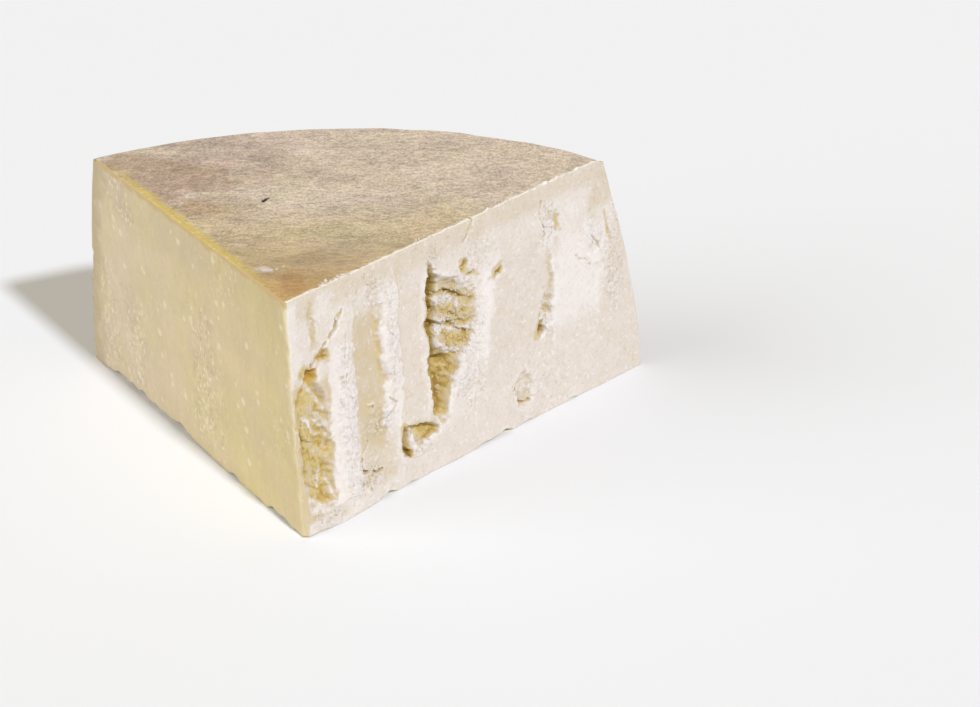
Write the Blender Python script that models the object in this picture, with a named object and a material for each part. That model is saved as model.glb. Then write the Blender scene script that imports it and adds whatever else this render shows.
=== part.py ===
"""A piece of a hard, aged cheese wheel, as one closed solid.

The wheel was cut level through its middle, and this piece is a sector of its upper half. Rind covers the flat top
and the barrel-shaped heel. The left side was cut smooth, the right side was broken open along the grain, and the
level cut is the underside that the piece rests on.

Metres, +Z up. The origin is at the bottom, in the middle of the bounding box. Inside the functions below the
apex of the sector stands on the Z axis, and the sector opens towards +Y.
"""
import math

import bpy
import numpy as np

# The wheel
TOP_RADIUS = 0.1968
HALF_HEIGHT = 0.110
HEEL_BULGE = 0.0215
HEEL_CURVE = 1.8
SECTOR_ANGLE = math.radians(72.7)

# How far each edge is rounded
RIM_ROUND = 0.0040
APEX_ROUND = 0.0010
HEEL_SIDE_ROUND = 0.0014
SIDE_TOP_ROUND = 0.0008
SIDE_BOTTOM_ROUND = 0.0004
HEEL_BOTTOM_ROUND = 0.0014
CRUMBLE = 0.3

# Where the foot of the cut side has crumbled away: distance from the apex, and how far up
CUT_FOOT_LIFT = (
    (0.070, 0.0000), (0.108, 0.0010), (0.121, 0.0030), (0.146, 0.0020), (0.172, 0.0030), (0.193, 0.0016),
    (0.209, 0.0000),
)
FOOT_LIFT_REACH = 0.014

# Cells of the mesh along the broken side, along the cut side and up, before it is thinned out
CELLS = (150, 70, 70)
CELL_CROWDING = 0.25
TARGET_TRIANGLES = 11400

# How deep a face's relief is felt by the faces next to it
RELIEF_REACH = 0.016

# Long plates of the broken side, as lines up it from the pointed edge to the heel. Each row has the places of one
# line at the heights of PLATE_HEIGHTS, and how far behind the plane of the side the line lies there.
PLATE_HEIGHTS = (0.000, 0.030, 0.060, 0.085, 0.110)
PLATE_LINES = (
    ((0.0000, 0.0000, 0.0000, 0.0000, 0.0000), (-0.0014, 0.0000, 0.0000, 0.0000, 0.0000)),
    ((0.0220, 0.0220, 0.0210, 0.0230, 0.0260), (-0.0030, 0.0002, 0.0000, 0.0000, 0.0002)),
    ((0.0300, 0.0300, 0.0300, 0.0310, 0.0340), (-0.0030, -0.0012, -0.0014, -0.0010, 0.0000)),
    ((0.0355, 0.0355, 0.0360, 0.0365, 0.0380), (-0.0026, -0.0006, -0.0007, -0.0003, 0.0000)),
    ((0.0363, 0.0363, 0.0370, 0.0376, 0.0400), (-0.0024, 0.0008, 0.0012, 0.0010, 0.0002)),
    ((0.0500, 0.0510, 0.0525, 0.0510, 0.0490), (-0.0014, 0.0020, 0.0026, 0.0022, 0.0004)),
    ((0.0550, 0.0560, 0.0560, 0.0550, 0.0540), (-0.0008, 0.0000, -0.0004, -0.0004, 0.0000)),
    ((0.0620, 0.0625, 0.0635, 0.0630, 0.0620), (-0.0008, -0.0006, -0.0012, -0.0010, 0.0000)),
    ((0.0628, 0.0635, 0.0646, 0.0640, 0.0640), (-0.0006, 0.0006, 0.0006, 0.0007, 0.0002)),
    ((0.0800, 0.0800, 0.0800, 0.0805, 0.0810), (-0.0004, -0.0002, -0.0007, -0.0004, 0.0000)),
    ((0.1040, 0.1080, 0.1100, 0.1100, 0.1080), (-0.0002, 0.0010, 0.0010, 0.0008, 0.0002)),
    ((0.1120, 0.1150, 0.1180, 0.1240, 0.1260), (0.0000, -0.0006, -0.0014, -0.0010, 0.0000)),
    ((0.1580, 0.1590, 0.1600, 0.1600, 0.1580), (0.0002, 0.0010, 0.0022, 0.0008, 0.0002)),
    ((0.1600, 0.1605, 0.1615, 0.1620, 0.1600), (0.0002, 0.0006, -0.0006, 0.0002, 0.0000)),
    ((0.1960, 0.1960, 0.1960, 0.1940, 0.1920), (0.0004, 0.0008, 0.0012, 0.0008, 0.0002)),
    ((0.2050, 0.2050, 0.2040, 0.2020, 0.2000), (0.0000, 0.0002, 0.0002, 0.0002, 0.0002)),
    ((0.2300, 0.2300, 0.2300, 0.2300, 0.2300), (0.0000, 0.0000, 0.0000, 0.0000, 0.0000)),
)

# Hollows of the broken side. Each row is a height above the underside, the places along the side where the hollow
# starts, reaches its floor, leaves its floor and ends, and the depth of its floor.
EDGE_SCOOP = (
    (0.008, 0.005, 0.009, 0.012, 0.018, 0.0000),
    (0.014, 0.004, 0.009, 0.016, 0.023, 0.0040),
    (0.020, 0.003, 0.008, 0.016, 0.023, 0.0050),
    (0.030, 0.001, 0.006, 0.016, 0.022, 0.0036),
    (0.036, 0.001, 0.006, 0.016, 0.022, 0.0048),
    (0.060, 0.000, 0.005, 0.015, 0.021, 0.0040),
    (0.066, 0.002, 0.006, 0.012, 0.018, 0.0038),
    (0.072, 0.005, 0.008, 0.010, 0.015, 0.0000),
)
DEEP_TROUGH = (
    (0.021, 0.0860, 0.0870, 0.0885, 0.0920, 0.0000),
    (0.027, 0.0838, 0.0850, 0.0890, 0.0940, 0.0070),
    (0.034, 0.0822, 0.0834, 0.0900, 0.0960, 0.0095),
    (0.041, 0.0808, 0.0820, 0.0920, 0.1000, 0.0110),
    (0.048, 0.0798, 0.0808, 0.0960, 0.1090, 0.0125),
    (0.060, 0.0798, 0.0808, 0.1000, 0.1150, 0.0140),
    (0.080, 0.0803, 0.0813, 0.0980, 0.1130, 0.0130),
    (0.087, 0.0812, 0.0822, 0.0900, 0.1000, 0.0100),
    (0.092, 0.0830, 0.0838, 0.0862, 0.0890, 0.0060),
    (0.100, 0.0838, 0.0843, 0.0848, 0.0856, 0.0000),
)

# Crags right of the crevice of the trough, in slanting steps: where they set in along the side, the share of the
# trough's depth that they fill, their slope, the heights of their edges, where they set in above the foot of the
# trough, and how high a step is
CRAG_SIDE = (0.0903, 0.0932)
CRAG_SHARE = 0.62
CRAG_SLOPE = 0.62
CRAG_EDGES = (0.0575, 0.0675, 0.0840, 0.1000)
CRAG_FOOT = (0.0500, 0.0575)
CRAG_STEP = 0.0040

# The hollow with a flake standing in it, as rows like those above, the rim of the flake from left to right, the width
# of the flake's left wall, the depth of its rim, and how it falls away behind the rim, first quickly and then slowly
CURL_HOLE = (
    (0.0110, 0.0670, 0.0680, 0.0690, 0.0700, 0.0000),
    (0.0130, 0.0645, 0.0657, 0.0700, 0.0730, 0.0045),
    (0.0160, 0.0630, 0.0640, 0.0740, 0.0800, 0.0075),
    (0.0200, 0.0618, 0.0628, 0.0790, 0.0860, 0.0090),
    (0.0236, 0.0612, 0.0622, 0.0760, 0.0830, 0.0085),
    (0.0258, 0.0612, 0.0625, 0.0700, 0.0760, 0.0070),
    (0.0274, 0.0630, 0.0650, 0.0670, 0.0700, 0.0000),
)
CURL_RIM = (
    (0.0668, 0.0250), (0.0678, 0.0205), (0.0694, 0.0168), (0.0757, 0.0138), (0.0823, 0.0132), (0.0900, 0.0140),
)
CURL_WALL = 0.0020
CURL_RIM_DEPTH = 0.0003
CURL_FALL = (0.0016, 0.0020, 0.28)

# Single hollows and lumps of the broken side: place along it, height, half width, half height, depth, and the
# share of the way out from its middle at which its floor ends
DENTS = (
    (0.0105, 0.0715, 0.0050, 0.0055, 0.0060, 0.45),
    (0.0195, 0.0785, 0.0042, 0.0036, 0.0036, 0.30),
    (0.1060, 0.0895, 0.0026, 0.0045, 0.0036, 0.35),
    (0.1100, 0.0855, 0.0045, 0.0022, 0.0030, 0.35),
    (0.1265, 0.0800, 0.0042, 0.0028, 0.0030, 0.30),
    (0.1530, 0.0410, 0.0026, 0.0044, 0.0042, 0.50),
    (0.1400, 0.0170, 0.0070, 0.0110, 0.0024, 0.30),
)

# Unevenness: length of one wave and height of the waves
BROKEN_WAVES = ((0.040, 0.0006), (0.011, 0.0003))
WOBBLE_WAVES = ((0.009, 0.0010),)
CUT_WAVES = ((0.050, 0.0004), (0.010, 0.00015))
RIND_WAVES = ((0.070, 0.0005), (0.020, 0.00015))

# Material of the paste and rind, as seen from a distance
CHEESE_COLOUR = (0.80, 0.68, 0.44, 1.0)
CHEESE_ROUGHNESS = 0.6

HALF_ANGLE = SECTOR_ANGLE / 2
BROKEN_ALONG = np.array([math.sin(HALF_ANGLE), math.cos(HALF_ANGLE), 0.0])
BROKEN_OUT = np.array([math.cos(HALF_ANGLE), -math.sin(HALF_ANGLE), 0.0])
CUT_ALONG = np.array([-math.sin(HALF_ANGLE), math.cos(HALF_ANGLE), 0.0])
CUT_OUT = np.array([-math.cos(HALF_ANGLE), -math.sin(HALF_ANGLE), 0.0])
UP = np.array([0.0, 0.0, 1.0])


def ramp(value, start, end):
    """Rises smoothly from 0 at start to 1 at end."""
    share = np.clip((value - start) / (end - start), 0.0, 1.0)
    return share * share * (3.0 - 2.0 * share)


def lattice_value(x, y, z, seed):
    """A fixed value from -1 to 1 for each whole-numbered point, which looks random."""
    mixed = x * 374761393 + y * 668265263 + z * 1440662683 + seed * 1274126177
    mixed = (mixed ^ (mixed >> 13)) * 1103515245 & 0xFFFFFFFF
    mixed = (mixed ^ (mixed >> 15)) * 668265263 & 0xFFFFFFFF
    return (mixed ^ (mixed >> 16)) / 2.0 ** 31 - 1.0


def smooth_noise(points, wave, seed):
    """Smooth noise from -1 to 1 at each point, with waves of the given length."""
    scaled = points / wave
    cell = np.floor(scaled).astype(np.int64)
    part = scaled - cell
    part = part * part * (3.0 - 2.0 * part)
    total = np.zeros(len(points))
    for corner in np.ndindex(2, 2, 2):
        weight = np.prod(np.where(corner, part, 1.0 - part), axis=1)
        total += weight * lattice_value(*(cell + corner).T, seed)
    return total


def waves(points, layers, seed):
    """Noise of several wave lengths and heights, added up."""
    return sum(height * smooth_noise(points, wave, seed + n) for n, (wave, height) in enumerate(layers))


def hollow(along, height, rows):
    """Depth of a long hollow whose sides and floor are given at several heights."""
    heights = [row[0] for row in rows]
    start, floor, floor_end, end, depth = (
        np.interp(height, heights, [row[n] for row in rows]) for n in range(1, 6))
    return depth * ramp(along, start, floor) * (1.0 - ramp(along, floor_end, end))


def dent(along, height, place, level, half_width, half_height, depth, floor=0.35):
    """Depth of a single hollow, or of a lump where depth is below 0."""
    distance = np.hypot((along - place) / half_width, (height - level) / half_height)
    return depth * (1.0 - ramp(distance, floor, 1.0))


def plate_depth(along, height):
    """Depth of the long plates, which changes evenly from each line to the next."""
    places = [np.interp(height, PLATE_HEIGHTS, row[0]) for row in PLATE_LINES]
    depths = [np.interp(height, PLATE_HEIGHTS, row[1]) for row in PLATE_LINES]
    total = depths[0].copy()
    for n in range(1, len(places)):
        share = np.clip((along - places[n - 1]) / (places[n] - places[n - 1]), 0.0, 1.0)
        total += (depths[n] - depths[n - 1]) * share
    return total


def steps(level, edges, height):
    """Rises from 0 just above each edge to the given height just below the next edge."""
    edges = np.array(edges)
    below = np.clip(np.searchsorted(edges, level) - 1, 0, len(edges) - 2)
    share = np.clip((level - edges[below]) / (edges[below + 1] - edges[below]), 0.0, 1.0)
    return height * share ** 1.3


def trough_depth(along, height):
    """Depth of the trough: a narrow crevice on the left and crags in slanting steps right of it."""
    depth = hollow(along, height, DEEP_TROUGH)
    slant = height + CRAG_SLOPE * (along - CRAG_SIDE[0])
    crags = ramp(along, *CRAG_SIDE) * ramp(slant, *CRAG_FOOT)
    rough = steps(slant, CRAG_EDGES, CRAG_STEP)
    stepped = (1.0 - CRAG_SHARE) * depth + rough * np.clip(depth / 0.008, 0.0, 1.0)
    return depth + crags * (stepped - depth)


def curl_depth(along, height):
    """Depth of the hollow round a flake, which falls away behind its lower left rim."""
    rim = np.interp(along, *zip(*CURL_RIM))
    left = CURL_RIM[0][0]
    below = ramp(rim - height, -0.0002, 0.0006) * ramp(along, left + 0.0016, left + 0.0030)
    hole = hollow(along, height, CURL_HOLE) * (1.0 - below)
    behind = np.clip(height - rim, 0.0, np.maximum(along - left, 0.0) * 1.5)
    fall, reach, lean = CURL_FALL
    flake = CURL_RIM_DEPTH + fall * (1.0 - np.exp(-behind / reach)) + lean * behind
    inside = ramp(along, left, left + CURL_WALL)
    return hole + inside * (np.minimum(hole, flake) - hole)


def broken_depth(points):
    """How far the broken side lies behind its plane."""
    along = points @ BROKEN_ALONG
    height = points[:, 2]
    place = along + waves(points, WOBBLE_WAVES, 11)
    level = height + waves(points, WOBBLE_WAVES, 15)
    depth = plate_depth(place, level)
    depth += hollow(place, level, EDGE_SCOOP)
    depth += trough_depth(place, level)
    depth += curl_depth(place, level)
    for values in DENTS:
        depth += dent(place, level, *values)
    depth += waves(points, BROKEN_WAVES, 21)
    near_top = ramp(height, 0.101, 0.108)
    near_edge = 1.0 - ramp(along, 0.0, 0.003)
    return depth * (1.0 - 0.85 * near_top) * (1.0 - 0.4 * near_edge)


def heel_radius(height):
    """Radius of the wheel at a height above the level cut: widest there, like a barrel."""
    return TOP_RADIUS + HEEL_BULGE * (1.0 - np.clip(height / HALF_HEIGHT, 0.0, 1.0) ** HEEL_CURVE)


def block_surface(cells):
    """Whole-numbered points on the outside of a block of cells, and the quads between them, facing out."""
    number = np.full([n + 1 for n in cells], -1, np.int32)
    outside = np.ones_like(number, bool)
    outside[1:-1, 1:-1, 1:-1] = False
    number[outside] = np.arange(outside.sum())
    quads = []
    for axis in range(3):
        for end in (0, -1):
            layer = number.take(end, axis=axis)
            ring = (layer[:-1, :-1], layer[1:, :-1], layer[1:, 1:], layer[:-1, 1:])
            facing_in = (end == 0) != (axis == 1)
            quads.append(np.stack(ring[::-1] if facing_in else ring, -1).reshape(-1, 4))
    return np.argwhere(outside), np.concatenate(quads)


def crowded(share):
    """Moves evenly spread shares from 0 to 1 closer to both ends."""
    return share - CELL_CROWDING * np.sin(2.0 * math.pi * share) / (2.0 * math.pi)


def sector_points(lattice):
    """Places the points of a block on the plain sector, with the barrel-shaped heel and sharp edges."""
    along, across, up = crowded(lattice / np.array(CELLS)).T
    share = np.maximum(along, across)
    other = np.minimum(along, across) / np.maximum(share, 1e-12)
    angle = np.where(along >= across, 1.0 - other, other - 1.0) * HALF_ANGLE
    height = up * HALF_HEIGHT
    radius = share * heel_radius(height)
    return np.stack([radius * np.sin(angle), radius * np.cos(angle), height], 1)


def inside_distances(points):
    """How far points lie inside each face of the sector."""
    height = points[:, 2]
    return {
        "broken": -points @ BROKEN_OUT,
        "cut": -points @ CUT_OUT,
        "heel": heel_radius(height) - np.hypot(points[:, 0], points[:, 1]),
        "top": HALF_HEIGHT - height,
        "bottom": height,
    }


def outward(points):
    """Direction out of each face of the sector."""
    radial = points * np.array([1.0, 1.0, 0.0])
    radial /= np.maximum(np.linalg.norm(radial, axis=1), 1e-9)[:, None]
    return {"broken": BROKEN_OUT, "cut": CUT_OUT, "heel": radial, "top": UP, "bottom": -UP}


def rounding(points, first, second, radius, seed):
    """How far to move points so that the edge between two square faces is rounded, by a radius that varies."""
    inside = inside_distances(points)
    out = outward(points)
    radius = radius * (1.0 + CRUMBLE * smooth_noise(points, 0.012, seed))
    gap_first = radius - inside[first]
    gap_second = radius - inside[second]
    reach = np.hypot(gap_first, gap_second)
    near = (gap_first > 0) & (gap_second > 0) & (reach > radius)
    pull = np.where(near, 1.0 - radius / np.maximum(reach, 1e-12), 0.0)
    return -(pull * gap_first)[:, None] * out[first] - (pull * gap_second)[:, None] * out[second]


def round_apex(points):
    """Rounds the upright edge where the broken side meets the cut side."""
    centre = np.array([0.0, APEX_ROUND / math.sin(HALF_ANGLE)])
    offset = points[:, :2] - centre
    distance = np.linalg.norm(offset, axis=1)
    near = points[:, 1] < APEX_ROUND * math.cos(HALF_ANGLE) / math.tan(HALF_ANGLE)
    near &= distance > APEX_ROUND
    points[near, :2] = centre + offset[near] * (APEX_ROUND / distance[near])[:, None]


def round_edges(points):
    """Rounds all edges of the sector."""
    round_apex(points)
    edges = (
        ("heel", "top", RIM_ROUND), ("broken", "heel", HEEL_SIDE_ROUND), ("cut", "heel", HEEL_SIDE_ROUND),
        ("broken", "top", SIDE_TOP_ROUND), ("cut", "top", SIDE_TOP_ROUND),
        ("broken", "bottom", SIDE_BOTTOM_ROUND), ("cut", "bottom", SIDE_BOTTOM_ROUND),
        ("heel", "bottom", HEEL_BOTTOM_ROUND),
    )
    for seed, (first, second, radius) in enumerate(edges):
        points += rounding(points, first, second, radius, seed + 31)


def add_relief(points, plain):
    """Pushes each face in by its relief, which fades out with the distance from that face."""
    inside = inside_distances(plain)
    out = outward(plain)
    depth = {
        "broken": broken_depth(plain),
        "cut": waves(plain, CUT_WAVES, 41),
        "heel": waves(plain, RIND_WAVES, 51),
        "top": waves(plain, RIND_WAVES, 61),
    }
    above_ground = ramp(plain[:, 2], 0.0, 0.003)
    for face, amount in depth.items():
        near = 1.0 - ramp(inside[face], 0.0, RELIEF_REACH)
        keep = above_ground if face == "top" else 1.0
        points -= (amount * near * keep)[:, None] * out[face]
        if face == "broken":
            # The pointed edge moves back within the cut side
            near_cut = 1.0 - ramp(inside["cut"], 0.0, RELIEF_REACH)
            points += (amount * near * near_cut)[:, None] * (BROKEN_OUT @ CUT_OUT) * CUT_OUT


def lift_foot(points, plain):
    """Raises the foot of the cut side where it has crumbled away."""
    along = plain @ CUT_ALONG + 0.004 * smooth_noise(plain, 0.010, 45)
    lift = np.interp(along, *zip(*CUT_FOOT_LIFT)) * (1.0 + 0.3 * smooth_noise(plain, 0.006, 46))
    near_side = 1.0 - ramp(-plain @ CUT_OUT, 0.0, FOOT_LIFT_REACH)
    near_foot = 1.0 - ramp(plain[:, 2], 0.0, FOOT_LIFT_REACH)
    points[:, 2] += lift * near_side * near_foot


def cheese_points(lattice):
    """The finished points of the piece."""
    plain = sector_points(lattice)
    points = plain.copy()
    round_edges(points)
    add_relief(points, plain)
    lift_foot(points, plain)
    return points


def cheese_material():
    """Pale yellow, slightly waxy."""
    material = bpy.data.materials.new("cheese")
    material.use_nodes = True
    shader = material.node_tree.nodes["Principled BSDF"]
    shader.inputs["Base Color"].default_value = CHEESE_COLOUR
    shader.inputs["Roughness"].default_value = CHEESE_ROUGHNESS
    shader.inputs["Metallic"].default_value = 0.0
    return material


def thinned(dense):
    """The mesh of an object after its points have been thinned out where the surface is flat."""
    triangles = 2 * len(dense.data.polygons)
    thin = dense.modifiers.new("thin", "DECIMATE")
    thin.ratio = TARGET_TRIANGLES / triangles
    evaluated = dense.evaluated_get(bpy.context.evaluated_depsgraph_get())
    mesh = bpy.data.meshes.new_from_object(evaluated)
    dense.modifiers.clear()
    return mesh


def settle(mesh):
    """Puts the underside exactly on the ground and the middle of the bounding box over the origin."""
    points = np.array([vertex.co[:] for vertex in mesh.vertices])
    points[points[:, 2] < 1e-5, 2] = 0.0
    points[:, :2] -= (points[:, :2].min(axis=0) + points[:, :2].max(axis=0)) / 2.0
    mesh.vertices.foreach_set("co", points.astype(np.float32).ravel())
    mesh.update()


def make_cheese():
    """Builds the piece as one closed object."""
    lattice, quads = block_surface(CELLS)
    mesh = bpy.data.meshes.new("cheese_dense")
    mesh.from_pydata(cheese_points(lattice).tolist(), [], quads.tolist())
    cheese = bpy.data.objects.new("cheese", mesh)
    bpy.context.scene.collection.objects.link(cheese)
    cheese.data = thinned(cheese)
    bpy.data.meshes.remove(mesh)
    settle(cheese.data)
    cheese.data.name = "cheese"
    cheese.data.materials.clear()
    cheese.data.materials.append(cheese_material())
    cheese.data.shade_smooth()
    cheese.data.set_sharp_from_angle(angle=math.radians(40.0))
    return cheese


def main():
    for item in list(bpy.data.objects):
        bpy.data.objects.remove(item)
    make_cheese()


main()
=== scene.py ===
"""Looks of the piece of hard cheese: fine surface, rind, paste, crumbs, light and camera.

The piece is a sector of the upper half of a cheese wheel. Metres, +Z up. Inside the functions of the shape
the apex of the sector stands on the Z axis and the sector opens towards +Y. Then it is moved into the frame.
"""
import math

import bmesh
import bpy
import numpy as np
from mathutils import Matrix, Quaternion, Vector

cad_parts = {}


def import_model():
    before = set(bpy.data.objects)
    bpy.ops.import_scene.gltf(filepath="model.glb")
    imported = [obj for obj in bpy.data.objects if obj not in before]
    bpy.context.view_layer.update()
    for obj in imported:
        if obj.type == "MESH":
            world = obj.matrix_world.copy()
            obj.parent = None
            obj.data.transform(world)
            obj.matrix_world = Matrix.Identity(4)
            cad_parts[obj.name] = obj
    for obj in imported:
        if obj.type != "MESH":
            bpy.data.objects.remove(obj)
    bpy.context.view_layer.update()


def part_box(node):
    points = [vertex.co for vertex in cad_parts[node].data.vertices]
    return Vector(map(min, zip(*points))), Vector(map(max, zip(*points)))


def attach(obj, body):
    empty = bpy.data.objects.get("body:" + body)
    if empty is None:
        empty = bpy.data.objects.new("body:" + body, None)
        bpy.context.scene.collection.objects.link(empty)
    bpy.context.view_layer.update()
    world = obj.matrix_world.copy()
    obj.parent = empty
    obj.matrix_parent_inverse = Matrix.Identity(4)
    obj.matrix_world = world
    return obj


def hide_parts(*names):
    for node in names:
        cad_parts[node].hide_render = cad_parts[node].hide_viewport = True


NODE = "cheese"
BODY = "root"

# The wheel
TOP_RADIUS = 0.1968
HALF_HEIGHT = 0.11
HEEL_BULGE = 0.0215
HEEL_CURVE = 1.8
SECTOR_ANGLE = math.radians(72.7)

# How far each edge is rounded, the share by which that varies along it, and the length of these waves
APEX_ROUND = 0.001
EDGE_ROUNDS = {
    ("heel", "top"): 0.004, ("broken", "heel"): 0.0014, ("cut", "heel"): 0.0014,
    ("broken", "top"): 0.0008, ("cut", "top"): 0.0008, ("broken", "bottom"): 0.0004,
    ("cut", "bottom"): 0.0004, ("heel", "bottom"): 0.0014,
}
CRUMBLE = 0.3
CRUMBLE_WAVE = 0.012

# Where the foot of the cut side has crumbled away: distance from the apex, and how far up. Then how far up
# that is felt, and waves that make the places and heights uneven and the foot of both sides ragged.
CUT_FOOT_LIFT = (
    (0.07, 0.0), (0.108, 0.001), (0.121, 0.003), (0.146, 0.002), (0.172, 0.003), (0.193, 0.0016),
    (0.209, 0.0),
)
FOOT_LIFT_REACH = 0.014
FOOT_PLACE_WAVES = ((0.01, 0.004),)
FOOT_LIFT_WAVES = ((0.006, 0.3),)
FOOT_LAYERS = ((0.016, 0.0018), (0.006, 0.0014))

# Cells of the mesh along the broken side, along the cut side and up, before it is thinned out
CELLS = (460, 110, 240)
CELL_CROWDING = 0.25
TARGET_TRIANGLES = 190000

# How deep a face's relief is felt by the faces next to it, and how high the foot of the faces stays flat
RELIEF_REACH = 0.016
FLAT_FOOT = 0.003

# Long plates of the broken side, as lines up it from the pointed edge to the heel. Each row has the places of
# one line at the heights of PLATE_HEIGHTS, and how far behind the plane of the side the line lies there.
PLATE_HEIGHTS = (0.0, 0.03, 0.06, 0.085, 0.11)
PLATE_LINES = (
    ((0.0, 0.0, 0.0, 0.0, 0.0), (-0.0014, 0.0, 0.0, 0.0, 0.0)),
    ((0.022, 0.022, 0.021, 0.023, 0.026), (-0.003, 0.0002, 0.0, 0.0, 0.0002)),
    ((0.03, 0.03, 0.03, 0.031, 0.034), (-0.003, -0.0012, -0.0014, -0.001, 0.0)),
    ((0.0355, 0.0355, 0.036, 0.0365, 0.038), (-0.0026, -0.0006, -0.0007, -0.0003, 0.0)),
    ((0.0363, 0.0363, 0.037, 0.0376, 0.04), (-0.0024, 0.0008, 0.0012, 0.001, 0.0002)),
    ((0.05, 0.051, 0.0525, 0.051, 0.049), (-0.0014, 0.002, 0.0026, 0.0022, 0.0004)),
    ((0.055, 0.056, 0.056, 0.055, 0.054), (-0.0008, 0.0, -0.0004, -0.0004, 0.0)),
    ((0.062, 0.0625, 0.0635, 0.063, 0.062), (-0.0008, -0.0006, -0.0012, -0.001, 0.0)),
    ((0.0628, 0.0635, 0.0646, 0.064, 0.064), (-0.0006, 0.0006, 0.0006, 0.0007, 0.0002)),
    ((0.08, 0.08, 0.08, 0.0805, 0.081), (-0.0004, -0.0002, -0.0007, -0.0004, 0.0)),
    ((0.104, 0.108, 0.11, 0.11, 0.108), (-0.0002, 0.001, 0.001, 0.0008, 0.0002)),
    ((0.112, 0.115, 0.118, 0.124, 0.126), (0.0, -0.0006, -0.0014, -0.001, 0.0)),
    ((0.158, 0.159, 0.16, 0.16, 0.158), (0.0002, 0.001, 0.0022, 0.0008, 0.0002)),
    ((0.16, 0.1605, 0.1615, 0.162, 0.16), (0.0002, 0.0006, -0.0006, 0.0002, 0.0)),
    ((0.196, 0.196, 0.196, 0.194, 0.192), (0.0004, 0.0008, 0.0012, 0.0008, 0.0002)),
    ((0.205, 0.205, 0.204, 0.202, 0.2), (0.0, 0.0002, 0.0002, 0.0002, 0.0002)),
    ((0.23, 0.23, 0.23, 0.23, 0.23), (0.0, 0.0, 0.0, 0.0, 0.0)),
)

# Hollows of the broken side. Each row is a height above the underside, the places along the side where the
# hollow starts, reaches its floor, leaves its floor and ends, and the depth of its floor.
EDGE_SCOOP = (
    (0.008, 0.005, 0.009, 0.012, 0.018, 0.0),
    (0.014, 0.004, 0.009, 0.016, 0.023, 0.004),
    (0.02, 0.003, 0.008, 0.016, 0.023, 0.005),
    (0.03, 0.001, 0.006, 0.016, 0.022, 0.0036),
    (0.036, 0.001, 0.006, 0.016, 0.022, 0.0048),
    (0.06, 0.0, 0.005, 0.015, 0.021, 0.004),
    (0.066, 0.002, 0.006, 0.012, 0.018, 0.0038),
    (0.072, 0.005, 0.008, 0.01, 0.015, 0.0),
)
DEEP_TROUGH = (
    (0.021, 0.086, 0.087, 0.0885, 0.092, 0.0),
    (0.027, 0.0838, 0.085, 0.089, 0.094, 0.007),
    (0.034, 0.0822, 0.0834, 0.09, 0.096, 0.0095),
    (0.041, 0.0808, 0.082, 0.092, 0.1, 0.011),
    (0.048, 0.0798, 0.0808, 0.096, 0.109, 0.0125),
    (0.06, 0.0798, 0.0808, 0.1, 0.115, 0.014),
    (0.08, 0.0803, 0.0813, 0.098, 0.113, 0.013),
    (0.087, 0.0812, 0.0822, 0.09, 0.1, 0.01),
    (0.092, 0.083, 0.0838, 0.0862, 0.089, 0.006),
    (0.1, 0.0838, 0.0843, 0.0848, 0.0856, 0.0),
)

# Crags right of the crevice of the trough: where they start, the share by which the trough is less deep
# there, their slope with how much longer than wide their facets are, the edges, foot, height and wobble of
# their steps, the facets, the depth of trough at which all that is full, and how the steps curve
CRAG_SIDE = (0.0903, 0.0932)
CRAG_SHARE = 0.62
CRAG_SLANT = (0.62, 1.8)
CRAG_EDGES = (0.0575, 0.0675, 0.084, 0.1)
CRAG_FOOT = (0.05, 0.0575)
CRAG_STEP = 0.0028
CRAG_WOBBLE = ((0.009, 0.0022), (0.0035, 0.001))
CRAG_FACETS = ((0.0085, 0.0014), (0.0045, 0.0006))
CRAG_DEPTH = 0.008
STEP_POWER = 1.3

# Facets and waves in the scoop: their slope with how much longer than wide they are, the size and height of
# both, and the depth of scoop at which they are full
SCOOP_SLANT = (1.2, 2.2)
SCOOP_FACETS = ((0.007, 0.0008), (0.0036, 0.0006))
SCOOP_WAVES = ((0.005, 0.0007), (0.0022, 0.0004))
SCOOP_DEPTH = 0.004

# The hollow with a flake standing in it, as rows like those above, and the flake's rim from left to right.
# Then the width of its left wall, the depth of its rim, how it falls away behind that, first quickly and
# then slowly, and where it fills the hollow below the rim, in height and along the side.
CURL_HOLE = (
    (0.011, 0.067, 0.068, 0.069, 0.07, 0.0),
    (0.013, 0.0645, 0.0657, 0.07, 0.073, 0.0045),
    (0.016, 0.063, 0.064, 0.074, 0.08, 0.0075),
    (0.02, 0.0618, 0.0628, 0.079, 0.086, 0.009),
    (0.0236, 0.0612, 0.0622, 0.076, 0.083, 0.0085),
    (0.0258, 0.0612, 0.0625, 0.07, 0.076, 0.007),
    (0.0274, 0.063, 0.065, 0.067, 0.07, 0.0),
)
CURL_RIM = (
    (0.0668, 0.025), (0.0678, 0.0205), (0.0694, 0.0168), (0.0757, 0.0138), (0.0823, 0.0132), (0.09, 0.014),
)
CURL_WALL = 0.002
CURL_RIM_DEPTH = 0.0003
CURL_FALL = (0.0016, 0.002, 0.28)
CURL_SLANT = 1.5
CURL_BELOW = (-0.0002, 0.0006)
CURL_FOOT = (0.0016, 0.003)

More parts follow.
